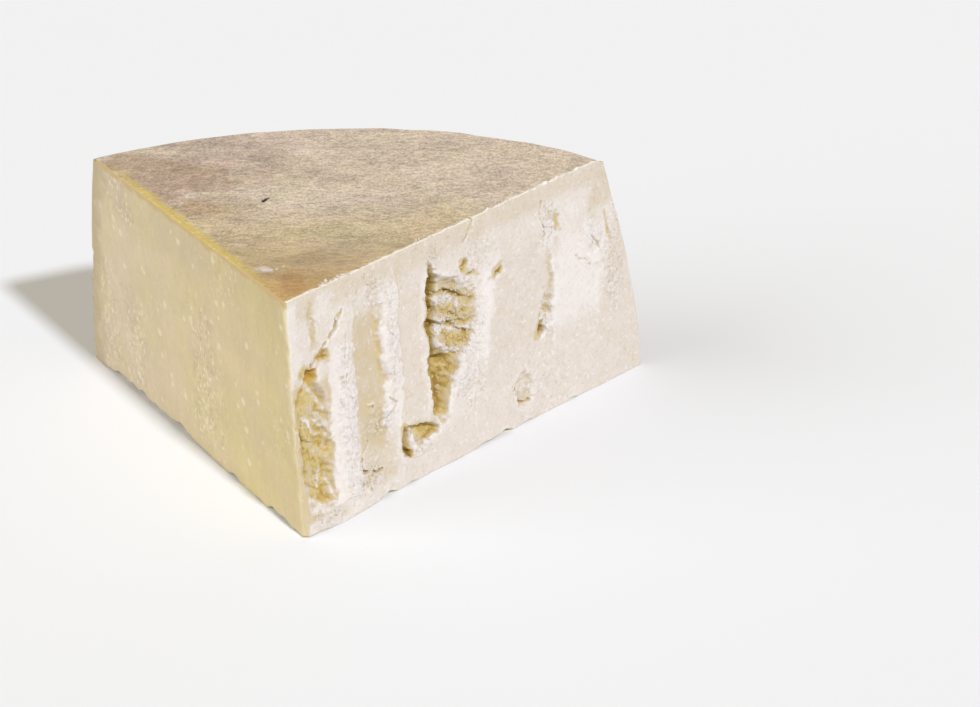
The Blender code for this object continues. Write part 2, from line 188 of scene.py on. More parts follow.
# Single hollows and lumps of the broken side: place along it, height, half width, half height, depth, and the
# share of the way out from its middle at which its floor ends, where that isn't DENT_FLOOR
DENT_FLOOR = 0.35
DENTS = (
    (0.0105, 0.0715, 0.005, 0.0055, 0.006, 0.45),
    (0.0185, 0.079, 0.0042, 0.0034, 0.0028, 0.3),
    (0.0145, 0.095, 0.0022, 0.014, 0.0011, 0.2),
    (0.0475, 0.0455, 0.0026, 0.0022, -0.0016, 0.4),
    (0.0495, 0.0435, 0.0012, 0.0012, 0.002, 0.2),
    (0.1062, 0.089, 0.0022, 0.005, 0.002, 0.3),
    (0.111, 0.0845, 0.005, 0.002, 0.0016, 0.3),
    (0.1265, 0.08, 0.004, 0.0026, 0.002, 0.3),
    (0.1648, 0.0905, 0.0032, 0.006, 0.001, 0.3),
    (0.1545, 0.0405, 0.0026, 0.0044, 0.0042, 0.5),
    (0.159, 0.041, 0.0032, 0.004, -0.0014, 0.4),
    (0.1575, 0.052, 0.003, 0.007, 0.0016, 0.3),
    (0.19, 0.064, 0.007, 0.005, -0.001, 0.5),
    (0.14, 0.017, 0.007, 0.011, 0.0024, 0.3),
    (0.028, 0.006, 0.01, 0.004, 0.0012, 0.4),
)

# Cracks of the broken side: half width, depth, and corners as place along it and height
CRACKS = (
    (0.0011, 0.0034, ((0.0305, 0.096), (0.026, 0.0885), (0.021, 0.084), (0.015, 0.08), (0.012, 0.077))),
    (0.0008, 0.0026, ((0.113, 0.11), (0.1105, 0.105), (0.1065, 0.1005))),
    (0.0006, 0.0011, ((0.0475, 0.1095), (0.045, 0.1045), (0.048, 0.101), (0.05, 0.0985))),
    (0.0006, 0.001, (
        (0.0565, 0.0447), (0.0598, 0.0413), (0.0582, 0.038), (0.0515, 0.0355), (0.0482, 0.0338),
        (0.0507, 0.0313))),
    (0.0007, 0.0022, (
        (0.0432, 0.0291), (0.0385, 0.0253), (0.0372, 0.0219), (0.0357, 0.018), (0.0403, 0.0158),
        (0.0434, 0.0147), (0.0491, 0.0132))),
    (0.0007, 0.0012, ((0.1565, 0.102), (0.1555, 0.094), (0.157, 0.086))),
    (0.0009, 0.0022, ((0.156, 0.058), (0.1545, 0.051), (0.152, 0.0455))),
    (0.0008, 0.0016, ((0.135, 0.018), (0.1385, 0.012), (0.144, 0.0095))),
    (0.0006, 0.0009, ((0.1765, 0.07), (0.181, 0.066), (0.1865, 0.0605))),
    (0.0006, 0.001, ((0.188, 0.075), (0.1925, 0.07), (0.1945, 0.064))),
)
# Waves of their width and depth, the share of the depth before those, the share of the width that is their
# floor, and how far they share the wobble of the hollows
CRACK_WIDTH_WAVES = ((0.002, 0.6),)
CRACK_DEPTH_WAVES = ((0.0026, 1.1),)
CRACK_DEPTH_SHARE = 0.75
CRACK_FLOOR = 0.2
CRACK_WOBBLE = 0.7

# Unevenness: length of one wave and height of the waves
BROKEN_WAVES = ((0.04, 0.0006), (0.011, 0.0003))
CUT_WAVES = ((0.05, 0.0004), (0.01, 0.00015))
RIND_WAVES = ((0.07, 0.0005), (0.02, 0.00015))
# Crumbs that stand up along the broken edge of the top: where they fade out, their waves, and how far these
# are lowered
CRUMB_REACH = (0.001, 0.0034)
CRUMB_LAYERS = ((0.009, 0.001), (0.003, 0.0014), (0.0016, 0.0008))
CRUMB_SINK = 0.0007
# Ragged edge of the heel beside the cut side: where it fades out, also in height, and its waves
RAGGED_REACH = (0.002, 0.008)
RAGGED_HEIGHTS = (0.05, 0.075)
RAGGED_LAYERS = ((0.007, 0.0028), (0.0032, 0.0018))
# Worn strip of the cut side beside the pointed edge: where it fades out, and its waves
APEX_REACH = (0.001, 0.006)
APEX_LAYERS = ((0.008, 0.0005), (0.003, 0.0004))
# Where the relief of the broken side is weaker, towards the top and the pointed edge, and by which share
CALM_TOP = (0.101, 0.108)
CALM_TOP_SHARE = 0.85
CALM_EDGE = (0.0, 0.003)
CALM_EDGE_SHARE = 0.4

# Granular parts of the broken side: place along it, height, half width, half height and strength. Then the
# least graininess elsewhere, the size and height of the grains and facets, the level that grains are counted
# from, how far scattered points lie from the middle of their cell, and the wobble of the hollows.
GRAINY = (
    (0.031, 0.045, 0.0075, 0.052, 1.0),
    (0.06, 0.072, 0.006, 0.036, 0.9),
    (0.103, 0.064, 0.018, 0.03, 1.3),
    (0.105, 0.036, 0.014, 0.02, 0.7),
    (0.086, 0.098, 0.005, 0.014, 0.9),
    (0.161, 0.091, 0.008, 0.018, 0.7),
    (0.157, 0.05, 0.005, 0.016, 1.0),
    (0.05, 0.036, 0.012, 0.01, 0.9),
    (0.04, 0.013, 0.013, 0.01, 1.0),
    (0.012, 0.04, 0.013, 0.042, 0.5),
    (0.052, 0.096, 0.01, 0.01, 0.7),
    (0.19, 0.076, 0.012, 0.012, 0.7),
    (0.202, 0.06, 0.009, 0.04, 0.7),
    (0.15, 0.015, 0.03, 0.02, 0.35),
    (0.014, 0.006, 0.014, 0.007, 0.9),
    (0.115, 0.092, 0.014, 0.012, 0.6),
    (0.073, 0.0155, 0.009, 0.006, 1.0),
)
LEAST_GRAIN = 0.1
GRAIN_LAYERS = ((0.0034, 0.0004), (0.0018, 0.0003))
GRAIN_LEVEL = 0.45
FACET_LAYERS = ((0.006, 0.0008), (0.0028, 0.0005), (0.0016, 0.0003))
SCATTER = 0.42
WOBBLE_LAYERS = ((0.009, 0.0014), (0.0034, 0.0012), (0.0016, 0.0008))

# Loose crumbs: their seed, smallest and largest half size, how uneven they are, and how far they sink in
CRUMB_SEED = 7
CRUMB_SIZES = (0.00028, 0.00075)
CRUMB_STRETCH = (0.6, 1.2)
CRUMB_DENTS = 0.22
CRUMB_SINKING = 0.3
# How many are tried on the broken side, the margins there, the chance that a granular place keeps one, and
# how near a crack they are kept
SIDE_CRUMBS = 6000
SIDE_MARGINS = (0.004, 0.003)
SIDE_CHANCE = 0.6
CRACK_CRUMB_REACH = (0.0006, 0.0018)
# White crests in the hollows, which have larger crumbs: the most tone, the least depth, and the growth
CREST_TONE = 0.3
CREST_DEPTH = 0.0025
CREST_GROWTH = 1.7
# How many are tried along the broken edge of the top, the margins there, how long their clusters are, how
# rare, and how far in the crumbs lie
EDGE_CRUMBS = 260
EDGE_MARGINS = (0.01, 0.006)
EDGE_CLUSTER = 0.012
EDGE_CRUMBS_FROM = 0.3
EDGE_SINKING = (0.0002, 0.003)
# Share of the paste's tone that a crumb has, the most that it has, and the tone of those along the edge
CRUMB_TONE = 0.6
MOST_CRUMB_TONE = 0.6
EDGE_CRUMB_TONE = 0.25

# Tone of the broken side, from 0 for the whitest crumb over cream and beige to 1 for the deepest ochre, and
# its tone where nothing else is said. The darker tones are partly the ochre of the paste, partly painted
# shade.
TONE_COLOURS = (
    (0.0, (0.8, 0.757, 0.722)), (0.25, (0.7, 0.632, 0.56)), (0.5, (0.61, 0.515, 0.365)),
    (0.75, (0.635, 0.502, 0.225)), (0.9, (0.47, 0.33, 0.095)), (1.0, (0.3, 0.2, 0.04)),
)
BASE_TONE = 0.22
# Areas with a tone of their own, where the camera sees them: from and to along the side, from and to in
# height, how far the edge is blurred along the side and in height, tone. Most are the own colour of the
# paste;
# the dark ones in the crevice of the trough and in the pit above the scoop are painted shade, and the ochre
# of the floor of the trough and of the scoop is partly painted shade.
TONE_AREAS = (
    (-0.01, 0.23, 0.0995, 0.12, 0.003, 0.003, 0.35),
    (-0.01, 0.0055, 0.072, 0.108, 0.0015, 0.003, 0.12),
    (0.0125, 0.0165, 0.084, 0.108, 0.001, 0.004, 0.46),
    (0.017, 0.025, 0.096, 0.108, 0.002, 0.003, 0.15),
    (-0.01, 0.0212, 0.012, 0.069, 0.001, 0.003, 0.51),
    (-0.01, 0.0045, -0.01, 0.069, 0.0012, 0.004, 0.6),
    (0.006, 0.0205, 0.012, 0.023, 0.002, 0.003, 0.64),
    (0.008, 0.02, 0.03, 0.04, 0.002, 0.003, 0.56),
    # Painted shade in the pit above the scoop
    (0.0055, 0.0135, 0.0685, 0.0775, 0.001, 0.0012, 0.88),
    (0.0212, 0.036, 0.006, 0.08, 0.0009, 0.005, 0.08),
    (0.037, 0.0525, 0.023, 0.089, 0.0012, 0.004, 0.5),
    (0.038, 0.058, 0.009, 0.026, 0.003, 0.004, 0.4),
    (0.053, 0.064, 0.03, 0.098, 0.0012, 0.006, 0.12),
    (0.065, 0.08, 0.03, 0.096, 0.002, 0.006, 0.28),
    (0.092, 0.114, 0.022, 0.056, 0.003, 0.005, 0.13),
    (0.112, 0.1215, 0.042, 0.086, 0.002, 0.006, 0.02),
    (0.1225, 0.158, 0.032, 0.083, 0.003, 0.006, 0.26),
    (0.161, 0.195, 0.04, 0.083, 0.003, 0.006, 0.04),
    (0.178, 0.193, 0.088, 0.104, 0.0012, 0.0025, 0.38),
    (0.198, 0.23, -0.01, 0.095, 0.003, 0.006, 0.26),
    (0.15, 0.174, 0.08, 0.101, 0.003, 0.004, 0.13),
    # Painted shade in the crevice of the trough and in the narrow pit above it
    (0.0795, 0.0846, 0.049, 0.0845, 0.0006, 0.002, 0.92),
    (0.0828, 0.087, 0.085, 0.0975, 0.0006, 0.0015, 0.66),
    (0.0815, 0.0925, 0.023, 0.05, 0.0012, 0.0025, 0.5),
    (0.014, 0.0225, 0.075, 0.0815, 0.001, 0.0012, 0.62),
    (0.1165, 0.1235, 0.078, 0.0835, 0.001, 0.001, 0.62),
    (0.153, 0.158, 0.0375, 0.046, 0.0008, 0.001, 0.7),
)
# How far left and up the camera sees what lies deeper, for each metre of depth
SEEN_SHIFT = (1.014, 0.671)
# How far the areas lean to the right for each metre above a level, from a place along the side on
TONE_LEAN = 0.25
TONE_LEAN_LEVEL = 0.06
TONE_LEAN_FROM = (0.1, 0.12)
# Depth behind the plates, and the tone that it adds: partly the ochre of the deeper paste, partly painted
# shade in the hollows
DEPTH_OCHRE_AND_SHADE = ((0.0, 0.0), (0.001, 0.03), (0.0025, 0.16), (0.005, 0.34), (0.009, 0.52), (0.013, 0.66))
# Cells over which a point is compared with the mean depth round it, tone for each metre below it, and limits:
# painted shade where a point lies deeper than the mean round it, and a paler tone where it stands out
PAINTED_CAVITY_SHADE = ((2, 380.0, -0.0004, 0.0006), (7, 80.0, -0.0014, 0.0012))
# Painted shade for each metre of depth of a crack, painted shade in the creases of the crags, where in a step
# they are, and the depth of a hollow at which creases and wisps are full
PAINTED_CRACK_SHADE = 250.0
PAINTED_CREASE_SHADE = 0.5
CREASE_SHARES = (0.62, 0.95)
HOLLOW_DEPTH = 0.002
# Tone above which only a share of what is more is kept
TONE_LIMIT = (0.84, 0.3)
# How far the strokes share the wobble of the hollows, and where they fade out, in half widths
STROKE_WOBBLE = 0.35
STROKE_EDGE = (0.3, 1.5)
# Strokes in the hollows, painted in this order: half width, tone, corners where the camera sees them. The
# darkest are painted shade in the crevice, under the crests of the crags and on the left wall of the flake;
# the ochre ones in the scoop are partly painted shade, and the palest are the white crumb of the crests.
STROKES = (
    # Painted shade in the trough, under the crests of its crags and in its crevice
    (0.0042, 0.62, ((0.088, 0.0735), (0.096, 0.07), (0.106, 0.066))),
    (0.0016, 0.84, ((0.085, 0.0755), (0.089, 0.0725))),
    (0.0036, 0.92, ((0.0915, 0.06), (0.096, 0.0575), (0.103, 0.056))),
    (0.0036, 0.84, ((0.086, 0.053), (0.089, 0.049), (0.094, 0.045))),
    (0.0026, 0.98, ((0.0825, 0.054), (0.0845, 0.048), (0.086, 0.042))),
    (0.003, 0.82, ((0.0885, 0.044), (0.0895, 0.036), (0.089, 0.029))),
    (0.0013, 0.66, ((0.104, 0.0925), (0.105, 0.088), (0.1075, 0.0865))),
    (0.001, 0.6, ((0.106, 0.087), (0.1105, 0.0845), (0.1145, 0.0825))),
    (0.0018, 0.7, ((0.094, 0.084), (0.102, 0.079), (0.111, 0.0735))),
    (0.003, 0.18, ((0.0865, 0.0812), (0.093, 0.078), (0.0995, 0.0745))),
    (0.0014, 0.08, ((0.1035, 0.0748), (0.1062, 0.0735))),
    (0.001, 0.06, ((0.085, 0.069), (0.088, 0.067), (0.093, 0.065), (0.0965, 0.063), (0.107, 0.06))),
    (0.0018, 0.08, ((0.0855, 0.0688), (0.0885, 0.0655))),
    (0.0015, 0.16, ((0.0848, 0.0615), (0.09, 0.057), (0.0955, 0.052))),
    (0.0008, 0.15, ((0.0842, 0.04), (0.085, 0.037))),
    # Painted shade on the left wall of the flake
    (0.0026, 1.2, ((0.064, 0.0265), (0.064, 0.022), (0.064, 0.018), (0.0665, 0.0148))),
    (0.005, 0.92, ((0.0705, 0.0235), (0.078, 0.0205))),
    (0.0008, 0.0, ((0.0678, 0.0225), (0.0674, 0.02), (0.0687, 0.0175), (0.0707, 0.0155), (0.0735, 0.0145))),
    (0.0018, 0.12, ((0.076, 0.015), (0.082, 0.016))),
    (0.0014, 0.42, ((0.16, 0.096), (0.164, 0.09), (0.167, 0.086))),
    (0.0008, 0.55, ((0.1965, 0.085), (0.1975, 0.078), (0.2, 0.07))),
    (0.0024, 0.64, ((0.013, 0.066), (0.0195, 0.062))),
    (0.0018, 0.66, ((0.008, 0.057), (0.015, 0.054))),
    (0.002, 0.6, ((0.003, 0.044), (0.008, 0.042))),
    (0.0032, 0.6, ((0.012, 0.035), (0.018, 0.028))),
    (0.0024, 0.74, ((0.006, 0.02), (0.014, 0.015), (0.02, 0.013))),
    (0.0022, 0.5, ((0.003, 0.007), (0.01, 0.006))),
    (0.001, 0.32, ((0.004, 0.073), (0.008, 0.067), (0.013, 0.06), (0.016, 0.056))),
    (0.0008, 0.3, ((0.003, 0.056), (0.006, 0.053), (0.008, 0.048), (0.012, 0.045))),
    (0.0008, 0.34, ((0.01, 0.053), (0.014, 0.048), (0.017, 0.043), (0.012, 0.038))),
    (0.0008, 0.42, ((0.009, 0.038), (0.011, 0.03), (0.009, 0.021))),
    (0.0008, 0.36, ((0.014, 0.025), (0.0165, 0.02), (0.018, 0.017), (0.02, 0.012))),
    (0.0012, 0.24, ((0.005, 0.016), (0.012, 0.01))),
)
# Wisps of the hollows: length of a wave and tone, and the place along the side where the scoop's end
WISPS = ((0.0062, 0.2), (0.003, 0.24))
SCOOP_END = 0.05

# Noise of each material: length of a wave, stretch along each axis, detail, roughness, and for most of them a
# span, as all spans below: from, to, and what comes out there
EVEN = (1.0, 1.0, 1.0)
BROKEN_NOISE = {
    "patches": (0.008, EVEN, 3.0, 0.6, 0.2, 0.8, -0.06, 0.06),
    "fine": (0.0019, EVEN, 4.0, 0.65),
    "flecks": (0.0021, EVEN, 2.0, 0.6, 0.58, 0.7, 0.0, -0.22),
}
CUT_NOISE = {
    "grains": (0.0026, (1.6, 1.0, 1.3), 4.0, 0.7),
    "broad": (0.022, (1.2, 1.0, 1.0), 3.0, 0.5, 0.3, 0.7, 0.96, 1.03),
    "mottle": (0.0065, (1.0, 1.0, 1.7), 3.0, 0.6, 0.3, 0.7, -0.032, 0.032),
    "streaks": (0.0016, (1.0, 1.0, 14.0), 2.0, 0.6, 0.3, 0.7, -0.02, 0.02),
    "wobble": (0.009, EVEN, 3.0, 0.5, 0.0, 1.0, -0.01, 0.01),
    "tint": (0.032, (1.0, 1.0, 1.4), 3.0, 0.5, 0.35, 0.65),
}
RIND_NOISE = {
    "fibres": (0.0021, (1.7, 1.0, 1.0), 3.0, 0.72),
    "grains": (0.0018, (0.65, 1.0, 1.0), 2.0, 0.6, 0.34, 0.66, -0.13, 0.13),
    "pits": (0.003, (1.3, 1.0, 1.0), 3.0, 0.6),
    "mottle": (0.0065, (1.4, 1.0, 1.0), 3.0, 0.65, 0.3, 0.7, -0.05, 0.05),
    "broad": (0.018, (1.5, 1.0, 1.0), 4.0, 0.6, 0.3, 0.7, 0.77, 0.97),
    "tint": (0.013, (1.5, 1.0, 1.0), 4.0, 0.65, 0.35, 0.65),
    "ragged": (0.012, EVEN, 4.0, 0.6, 0.2, 0.8, -0.45, 0.45),
    "edge": (0.005, EVEN, 3.0, 0.5, 0.0, 1.0, -0.003, 0.003),
    "flecks": (0.0024, EVEN, 2.0, 0.5, 0.52, 0.68, 0.0, 0.65),
}
SPECULAR = 0.3

# Paste of the broken side: how coarse it is, by its graininess and everywhere, its speckle, which paints
# shade where the bumps of the grains are low, and the tone that this leaves off at, the orange pit, where
# warm shade is painted, cells of crumb in a metre and their bumps, roughness over tone, and how far light
# goes in
MOST_GRAIN = 0.7
COARSE_EVERYWHERE = 0.3
SPECKLE_SHADE_SPAN = (0.5, 0.3, -0.05, 0.34)
DARKEST_SPECKLE = 0.8
ORANGE_PIT = (0.0125, -0.004, 0.0715)
ORANGE_PIT_REACH = 0.0065
PIT_SHADE_COLOUR = (0.69, 0.47, 0.105)
CRUMB_CELLS = 600.0
CRUMB_SPAN = (0.0, 0.7, 0.2, 0.0)
BROKEN_SHINE = (0.2, 0.7, 0.72, 0.55)
BROKEN_BUMPS = 0.0009
BROKEN_SUBSURFACE = 0.3
SUBSURFACE_RADIUS = (0.0011, 0.001, 0.0008)

# Paste of the cut side, from the pointed edge to the heel, and two tints that it changes between. Then how
# much of its mottle shows where it isn't granular, the shade of its grains and of its top, roughness and
# bumps.
CUT_COLOURS = (
    (0.0, (0.69, 0.575, 0.32)), (0.3, (0.705, 0.59, 0.342)), (0.55, (0.698, 0.584, 0.375)),
    (1.0, (0.705, 0.592, 0.41)),
)
CUT_TINTS = ((1.005, 0.99, 1.05), (0.995, 1.003, 0.915))
CUT_UNEVEN = 0.35
CUT_GRAIN_SHADE = (0.3, 0.66, -0.08, 0.07)
CUT_TOP_SHADE = (0.07, HALF_HEIGHT, 1.0, 0.955)
CUT_SHINE = (0.3, 0.7, 0.55, 0.68)
CUT_BUMPS = 0.0007
# Its granular bands: from and to along it, from and to in height, strength. Then how far their edges are
# blurred, and how granular it is everywhere.
CUT_ROUGH = (
    (0.078, 0.103, 0.008, 0.074, 1.0), (0.155, 0.178, 0.004, 0.052, 1.0), (0.156, 0.182, 0.084, 0.106, 0.9),
    (0.186, 0.212, 0.004, 0.06, 0.8), (0.046, 0.07, 0.092, 0.106, 0.6), (0.07, 0.084, 0.026, 0.04, 0.6),
    (0.004, 0.02, 0.034, 0.052, 0.5),
)
CUT_ROUGH_BLUR = (0.005, 0.008)
LEAST_CUT_GRAIN = 0.26
# Its spots: cell, how much taller than wide, chance below which there is none, largest size, strength. Then
# the size of none, how ragged they are, and where their edges fade out and are full.
LARGE_SPOTS = (0.0072, 0.95, 0.15, 0.31, 0.62)
SMALL_SPOTS = (0.0021, 1.4, 0.05, 0.46, 0.62)
DARK_SPOTS = (0.0024, 1.4, 0.2, 0.34, 0.55)
SMALLEST_SPOT = -0.07
SPOT_RAGGED = (0.3, 0.7, -0.06, 0.06)
SPOT_EDGE = (-0.05, 0.12)
SPECK_COLOUR = (0.86, 0.78, 0.61)
DARK_SPECK_COLOUR = (0.52, 0.42, 0.225)
# Its worn strip beside the pointed edge, the rind at the heel and the line of rind along the top, each with
# how uneven its edge is and where it fades out and is full
WORN_WOBBLE = 0.4
WORN_EDGE = (0.005, 0.001)
WORN_HEIGHTS = (0.05, 0.08, 0.15, 0.6)
RIND_WOBBLE = 0.8
RIND_SPAN = (0.018, 0.002)
RIND_ROUGH = 0.5
CUT_RIND_COLOUR = (0.555, 0.45, 0.282)
TOP_LINE_WOBBLE = 0.25
TOP_LINE_SPAN = (HALF_HEIGHT - 0.0036, HALF_HEIGHT - 0.001)
TOP_LINE_COLOUR = (0.615, 0.465, 0.23)

# Rind, from the pointed end to the heel, two tints that it changes between, and the colour of its pits
RIND_COLOURS = (
    (0.0, (0.665, 0.448, 0.182)), (0.1, (0.675, 0.466, 0.22)), (0.2, (0.605, 0.465, 0.285)),
    (0.38, (0.685, 0.568, 0.378)), (0.55, (0.725, 0.62, 0.492)), (1.0, (0.748, 0.634, 0.522)),
)
RIND_TINTS = ((1.015, 0.99, 1.015), (0.995, 1.003, 0.955))
RIND_DARK_COLOUR = (0.37, 0.29, 0.19)
# Its grain: shade of the fibres, how strong the grain is from the pointed end on and on the heel and the
# top, the share of the pits and how deep they are, roughness and bumps
FIBRE_SHADE = (0.34, 0.66, -0.13, 0.13)
GRAIN_FORWARD = (0.035, 0.08, 0.5, 1.05)
HEEL_GRAIN = (HALF_HEIGHT - 0.007, HALF_HEIGHT - 0.002, 0.35, 1.0)
PIT_SPAN = (0.62, 0.76, 0.0, 0.45)
PIT_BUMPS = -0.6
RIND_SHINE = (0.3, 0.7, 0.6, 0.75)
RIND_BUMPS = 0.0006
# Yellow band of the top beside the cut side: where it fades out and is full, and its part of that edge with
# how far the ends are blurred. Its pale flecks are painted glints along that edge.
YELLOW_EDGE = (0.0064, 0.001)
YELLOW_EDGE_PART = (0.03, 0.165, 0.03)
YELLOW_EDGE_COLOUR = (0.67, 0.515, 0.155)
YELLOW_EDGE_GLINT_COLOUR = (0.82, 0.71, 0.4)
# Pale line of the top beside the broken side: where it fades out and is full, and the same in height
PALE_EDGE = (0.0018, 0.0006)
PALE_EDGE_WOBBLE = 0.4
PALE_EDGE_HEIGHTS = (HALF_HEIGHT - 0.004, HALF_HEIGHT - 0.002)
PALE_EDGE_COLOUR = (0.86, 0.82, 0.76)
# Patches of the rind: middle across and forward of the apex, half width, half length, strength, colour. Their
# edge fades out and is full at these shares of the way out.
PATCH_EDGE = (1.15, 0.55)
RIND_PATCHES = (
    (-0.035, 0.142, 0.03, 0.022, 0.3, (0.56, 0.43, 0.315)),
    (-0.085, 0.128, 0.04, 0.044, 0.9, (0.53, 0.405, 0.3)),
    (-0.055, 0.168, 0.04, 0.02, 0.65, (0.59, 0.485, 0.42)),
    (-0.05, 0.098, 0.02, 0.018, 0.4, (0.585, 0.44, 0.29)),
    (-0.008, 0.112, 0.036, 0.016, 0.45, (0.79, 0.69, 0.56)),
    (0.06, 0.15, 0.05, 0.03, 0.4, (0.76, 0.645, 0.525)),
    (0.01, 0.18, 0.03, 0.014, 0.35, (0.65, 0.575, 0.45)),
    (0.002, 0.075, 0.022, 0.013, 0.45, (0.7, 0.585, 0.36)),
    (0.014, 0.068, 0.018, 0.015, 0.6, (0.61, 0.53, 0.345)),
    (-0.052, 0.097, 0.01, 0.008, 0.35, (0.66, 0.45, 0.26)),
    (0.052, 0.088, 0.014, 0.026, 0.4, (0.76, 0.61, 0.38)),
    (0.003, 0.045, 0.014, 0.008, 0.55, (0.49, 0.365, 0.225)),
    (0.0, 0.02, 0.008, 0.016, 0.5, (0.48, 0.27, 0.115)),
    (-0.015, 0.034, 0.0075, 0.004, 0.5, (0.72, 0.56, 0.48)),
    (-0.016, 0.0355, 0.0036, 0.0018, 0.55, (0.86, 0.76, 0.74)),
    (-0.013, 0.0335, 0.0026, 0.0015, 0.85, (0.94, 0.86, 0.84)),
    (-0.0096, 0.035, 0.0008, 0.0014, 0.9, (0.96, 0.88, 0.64)),
    (-0.0072, 0.0375, 0.0007, 0.0011, 0.8, (0.95, 0.85, 0.62)),
    (-0.03, 0.06, 0.0042, 0.0018, 0.8, (0.9, 0.75, 0.65)),
    (-0.0285, 0.1074, 0.0014, 0.0022, 1.0, (0.05, 0.04, 0.03)),
    (-0.0276, 0.109, 0.0013, 0.0022, 1.0, (0.05, 0.04, 0.03)),
    (-0.0268, 0.1106, 0.001, 0.0016, 0.9, (0.09, 0.075, 0.055)),
)

# Camera, from the fit of the outline in the photo. Distances are shares of the wheel's radius in that fit.
FIT_RADIUS = 0.195
VIEW_AZIMUTH = math.radians(8.244)
VIEW_ELEVATION = math.radians(25.211)
VIEW_ROLL = math.radians(-2.964)
VIEW_DISTANCE = 7.847
VIEW_SIDE = 0.407
VIEW_RISE = 0.404
FOCAL_PIXELS = 3600.0
PHOTO_WIDTH = 980.0
SENSOR_WIDTH = 36.0
CLIP_END = 20.0

# Lights: azimuth, elevation, strength, how wide an angle the light fills, colour
SUNS = {
    "key": (math.radians(38.0), math.radians(40.0), 2.33, math.radians(4.0), (0.97, 1.0, 1.09)),
    "fill": (math.radians(-65.0), math.radians(30.0), 1.1, math.radians(50.0), (0.99, 1.0, 1.03)),
}
SKY_COLOUR = (1.0, 0.86, 0.62, 1.0)
SKY_STRENGTH = 0.36
FLOOR_REACH = 6.0
FLOOR_COLOUR = (0.9, 0.93, 0.97, 1.0)
FLOOR_ROUGHNESS = 0.9

# Seed of each noise, so that no two look alike, and how far apart those of scattered layers are
SEED_STEP = 10
SEEDS = {
    "place": 11, "level": 15, "broken": 21, "crags": 25, "edges": 31, "cut": 41, "foot_place": 45,
    "foot_lift": 46, "cut_foot": 47, "broken_foot": 49, "heel": 51, "ragged": 55, "top": 61, "crumbs": 65,
    "grains": 70, "worn": 75, "clusters": 85, "facets": 110, "scoop_facets": 130, "scoop_waves": 140,
    "crag_facets": 150, "scoop_wisps": 160, "trough_wisps": 170, "crack_width": 180, "crack_depth": 181,
}
# Numbers that mix whole numbers into values which look random
POINT_FACTORS = (374761393, 668265263, 1440662683, 1274126177)
MIXING = ((13, 1103515245), (15, 668265263))
LAST_SHIFT = 16
LOW_BITS = 0xFFFFFFFF
# Least number to divide by
TINY = 1e-12

HALF_ANGLE = SECTOR_ANGLE / 2
BROKEN_ALONG = np.array([math.sin(HALF_ANGLE), math.cos(HALF_ANGLE), 0.0])
BROKEN_OUT = np.array([math.cos(HALF_ANGLE), -math.sin(HALF_ANGLE), 0.0])
CUT_ALONG = np.array([-math.sin(HALF_ANGLE), math.cos(HALF_ANGLE), 0.0])
CUT_OUT = np.array([-math.cos(HALF_ANGLE), -math.sin(HALF_ANGLE), 0.0])
UP = np.array([0.0, 0.0, 1.0])


def ramp(value, start, end):
    """Rises smoothly from 0 at start to 1 at end."""
    share = np.clip((value - start) / (end - start), 0.0, 1.0)
    return share * share * (3.0 - 2.0 * share)


def lattice_value(x, y, z, seed):
    """A fixed value from -1 to 1 for each whole-numbered point, which looks random."""
    mixed = sum(number * factor for number, factor in zip((x, y, z, seed), POINT_FACTORS))
    for shift, factor in MIXING:
        mixed = (mixed ^ (mixed >> shift)) * factor & LOW_BITS
    return (mixed ^ (mixed >> LAST_SHIFT)) / 2.0 ** 31 - 1.0


def smooth_noise(points, wave, seed):
    """Smooth noise from -1 to 1 at each point, with waves of the given length."""
    scaled = points / wave
    cell = np.floor(scaled).astype(np.int64)
    part = scaled - cell
    part = part * part * (3.0 - 2.0 * part)
    total = np.zeros(len(points))
    for corner in np.ndindex(2, 2, 2):
        weight = np.prod(np.where(corner, part, 1.0 - part), axis=1)
        total += weight * lattice_value(*(cell + corner).T, seed)
    return total


def scattered(along, height, size, seed):
    """Distance to the nearest of many scattered points, in sizes, and a level that tilts round each."""
    place = np.stack([along, height]) / size
    cell = np.floor(place).astype(np.int64)
    nearest = np.full(len(along), np.inf)
    level = np.zeros(len(along))
    for step in np.ndindex(3, 3):
        home = cell + np.array(step)[:, None] - 1
        chance = [lattice_value(home[0], home[1], 0, seed + n) for n in range(5)]
        offset = place - home - 0.5 - SCATTER * np.array(chance[:2])
        distance = np.hypot(*offset)
        closer = distance < nearest
        tilted = 0.5 * chance[4] + chance[2] * offset[0] + chance[3] * offset[1]
        level = np.where(closer, tilted, level)
        nearest = np.where(closer, distance, nearest)
    return nearest, level


def waves(points, layers, seed):
    """Noise of several wave lengths and heights, added up."""
    return sum(height * smooth_noise(points, wave, seed + n) for n, (wave, height) in enumerate(layers))


def hollow(along, height, rows):
    """Depth of a long hollow whose sides and floor are given at several heights."""
    heights = [row[0] for row in rows]
    start, floor, floor_end, end, depth = (
        np.interp(height, heights, [row[n] for row in rows]) for n in range(1, 6))
    return depth * ramp(along, start, floor) * (1.0 - ramp(along, floor_end, end))


def dent(along, height, place, level, half_width, half_height, depth, floor=DENT_FLOOR):
    """Depth of a single hollow, or of a lump where depth is below 0."""
    distance = np.hypot((along - place) / half_width, (height - level) / half_height)
    return depth * (1.0 - ramp(distance, floor, 1.0))


def plate_depth(along, height):
    """Depth of the long plates, which changes evenly from each line to the next."""
    places = [np.interp(height, PLATE_HEIGHTS, row[0]) for row in PLATE_LINES]
    depths = [np.interp(height, PLATE_HEIGHTS, row[1]) for row in PLATE_LINES]
    total = depths[0].copy()
    for n in range(1, len(places)):
        share = np.clip((along - places[n - 1]) / (places[n] - places[n - 1]), 0.0, 1.0)
        total += (depths[n] - depths[n - 1]) * share
    return total


